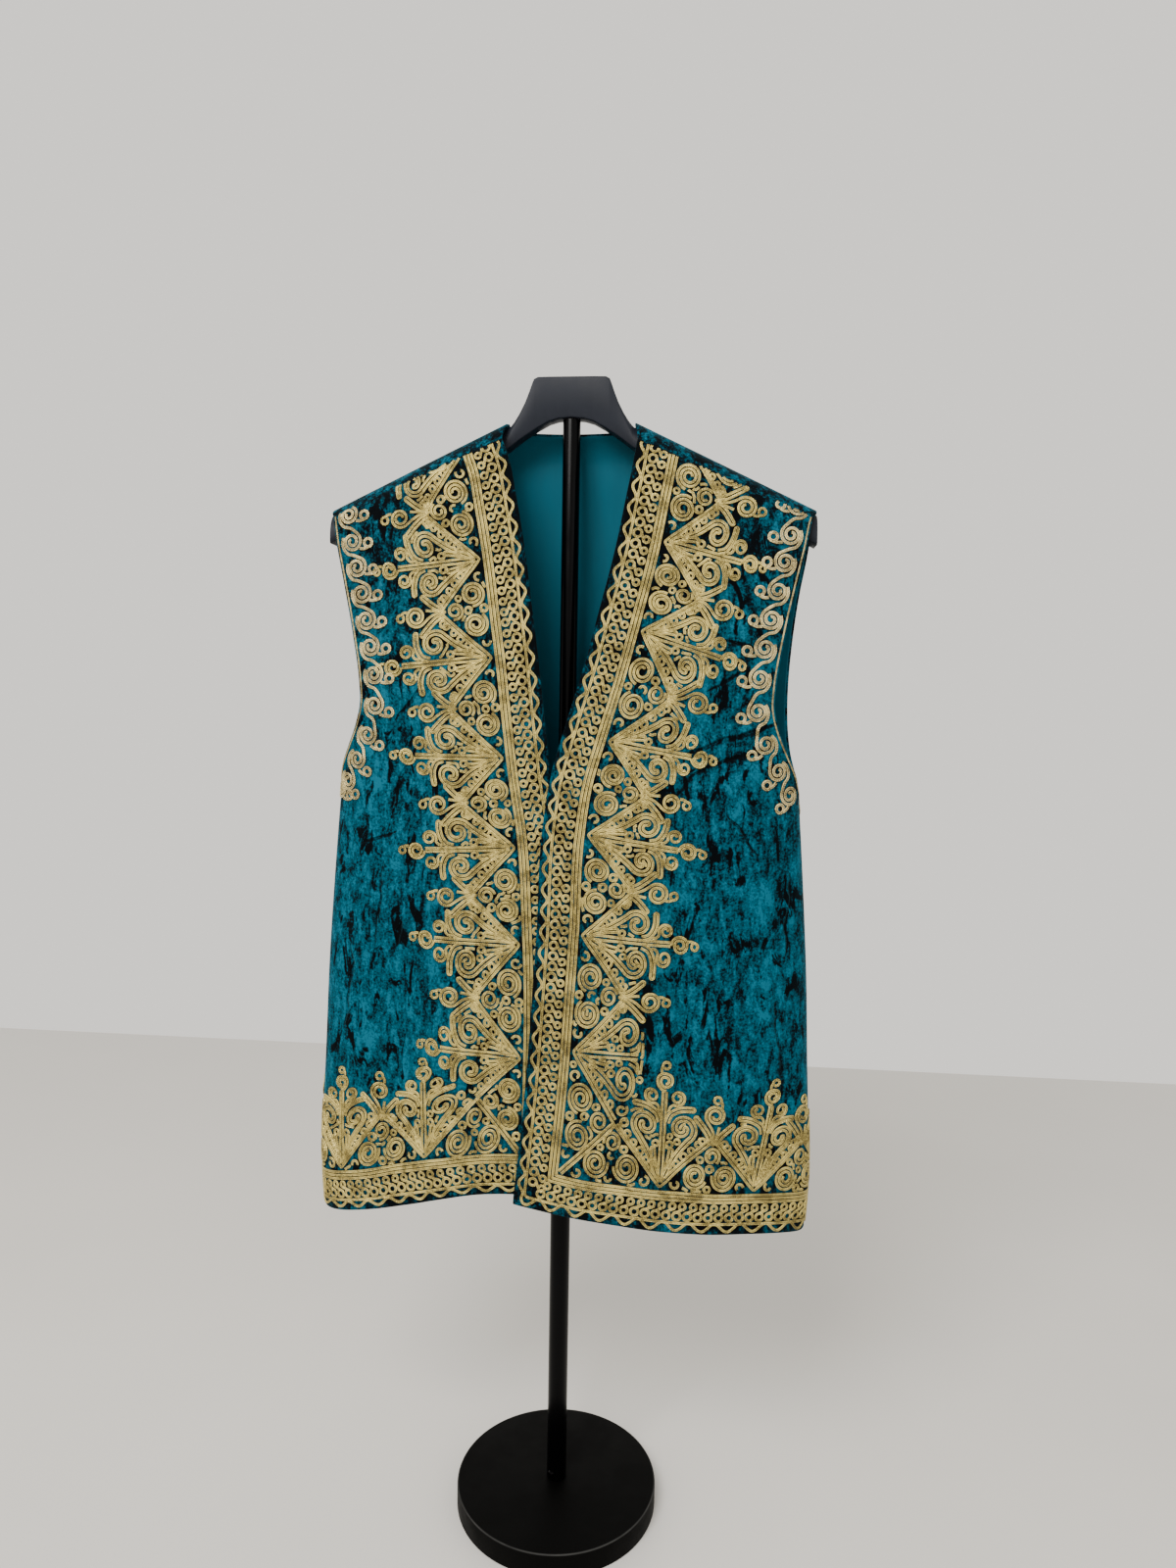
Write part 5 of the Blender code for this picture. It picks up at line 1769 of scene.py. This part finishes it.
studio = {
    "world": (1.0, 0.968, 0.905), "worldStrength": 1.12,
    "floor": (0.62, 0.60, 0.565), "floorSize": (30.0, -14.0, 1.28),
    "lights": {
        "keyLight": {"place": (-0.62, -1.62, 2.20), "aim": (0.0, 0.0, 0.72), "size": 1.1,
                     "power": 75, "colour": (1.0, 0.98, 0.95)},
        "fillLight": {"place": (1.9, -1.9, 1.1), "aim": (0.0, 0.0, 0.75), "size": 1.8,
                      "power": 8, "colour": (0.95, 0.97, 1.0)},
    },
}


def makeFloor():
    wide, near, far = studio["floorSize"]
    mesh = bpy.data.meshes.new("floor")
    mesh.from_pydata([(-wide / 2, near, 0), (wide / 2, near, 0), (wide / 2, far, 0),
                      (-wide / 2, far, 0)], [], [(0, 1, 2, 3)])
    material, (node, _, noise, ranged), position = startFinish("paleFloor")
    soft = noise(position, 3.0, 4.0)
    colour = colourRamp(node, soft, ((0.3, tuple(c * 0.96 for c in studio["floor"])),
                                     (0.7, studio["floor"])))
    wireFinish(material, node, colour, ranged(soft, 0.3, 0.7, 0.7, 0.8),
               noise(position, 400.0), 0.0001)
    newObject("floor", mesh, material)


def makeLight():
    world = bpy.data.worlds.new("studio")
    bpy.context.scene.world = world
    world.use_nodes = True
    background = world.node_tree.nodes["Background"]
    background.inputs["Color"].default_value = (*studio["world"], 1)
    background.inputs["Strength"].default_value = studio["worldStrength"]
    for name, lamp in studio["lights"].items():
        data = bpy.data.lights.new(name, "AREA")
        data.energy, data.size, data.color = lamp["power"], lamp["size"], lamp["colour"]
        light = bpy.data.objects.new(name, data)
        light.location = lamp["place"]
        aim = Vector(lamp["aim"]) - light.location
        light.rotation_euler = aim.to_track_quat("-Z", "Y").to_euler()
        bpy.context.scene.collection.objects.link(light)


makeCamera()
makeFloor()
makeLight()
print("stage ready")

velvet, lining = velvetFinish(), liningFinish()
goldCord, paleGoldCord = cordFinish("goldCord"), cordFinish("paleGoldCord")
footPaint = paintFinish("footPaint", (stand["foot"]["radius"], stand["foot"]["thick"]))
tubePaint, hangerPlastic = paintFinish("tubePaint"), paintFinish("hangerPlastic")
print("finishes mixed")

leftFront = makeFront("leftFront", "upper", 1, [velvet, lining])
rightFront = makeFront("rightFront", "under", -1, [velvet, lining])
backPanel, backLining = makeBack([velvet], lining)
for cloth, piece, hand in ((leftFront, "upper", 1), (rightFront, "under", -1),
                           (backPanel, "back", 1)):
    paintPileLightAndShade(cloth, piece, hand)
print("cloth hung")

standFoot, lowerTube, lockCollar, upperTube, footScrew = makeStand(footPaint, tubePaint)
hangerYoke = makeHanger(hangerPlastic)
print("stand turned")

# piece, the solid it stands for, the body it rides on, its finish
for piece, node, body, slot in (
        (leftFront, "left_front", "mast", "velvet"), (rightFront, "right_front", "mast", "velvet"),
        (backPanel, "back_panel", "mast", "velvet"), (backLining, "back_lining", "mast", "lining"),
        (hangerYoke, "hanger_yoke", "mast", "hanger_plastic"),
        (upperTube, "upper_tube", "mast", "tube_paint"),
        (standFoot, "stand_foot", "base", "foot_paint"),
        (lowerTube, "lower_tube", "base", "tube_paint"),
        (lockCollar, "lock_collar", "base", "tube_paint"),
        (footScrew, None, "base", "tube_paint")):
    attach(piece, body)
    if node:
        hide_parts(node)

# name, solid, what is drawn, pattern piece, hand, cord, seed
needleJobs = (
    ("leftFrontBorder", "left_front_border", stitchBorder, "upper", 1, goldCord, 11),
    ("rightFrontBorder", "right_front_border", stitchBorder, "under", -1, goldCord, 12),
    ("backHemBorder", "back_hem_border", stitchBorder, "back", 1, goldCord, 13),
    ("leftFrontScrollwork", "left_front_scrollwork", stitchScrolls, "upper", 1, goldCord, 21),
    ("rightFrontScrollwork", "right_front_scrollwork", stitchScrolls, "under", -1, goldCord, 22),
    ("backHemScrollwork", "back_hem_scrollwork", stitchScrolls, "back", 1, goldCord, 23),
    ("leftFrontVine", "left_front_armhole_vine", stitchVine, "upper", 1, paleGoldCord, 31),
    ("rightFrontVine", "right_front_armhole_vine", stitchVine, "under", -1, paleGoldCord, 32),
    ("leftBackVine", "left_back_armhole_vine", stitchVine, "back", 1, paleGoldCord, 33),
    ("rightBackVine", "right_back_armhole_vine", stitchVine, "back", -1, paleGoldCord, 34),
)
needlework = {}
for name, node, stitch, piece, hand, finish, seed in needleJobs:
    work = Needlework()
    dice = np.random.default_rng(seed)
    stitch(work, piece, dice)
    if work.fields:
        fillFields(work, dice)
    thing = couch(name, work, piece, hand, finish, seed)
    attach(thing, "mast")
    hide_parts(node)
    needlework[name] = thing

# the cut of what hangs: width and length, and the embroidery that goes with each
for cloth, flat, names in (
        (leftFront, (0.27, 0.73), ("leftFrontBorder", "leftFrontScrollwork", "leftFrontVine")),
        (rightFront, (0.26, 0.73), ("rightFrontBorder", "rightFrontScrollwork", "rightFrontVine")),
        (backPanel, (0.51, 0.76), ("backHemBorder", "backHemScrollwork", "leftBackVine",
                                   "rightBackVine")),
        (backLining, (0.50, 0.73), ())):
    [needlework[name] for name in names]

print("vest and stand ready")
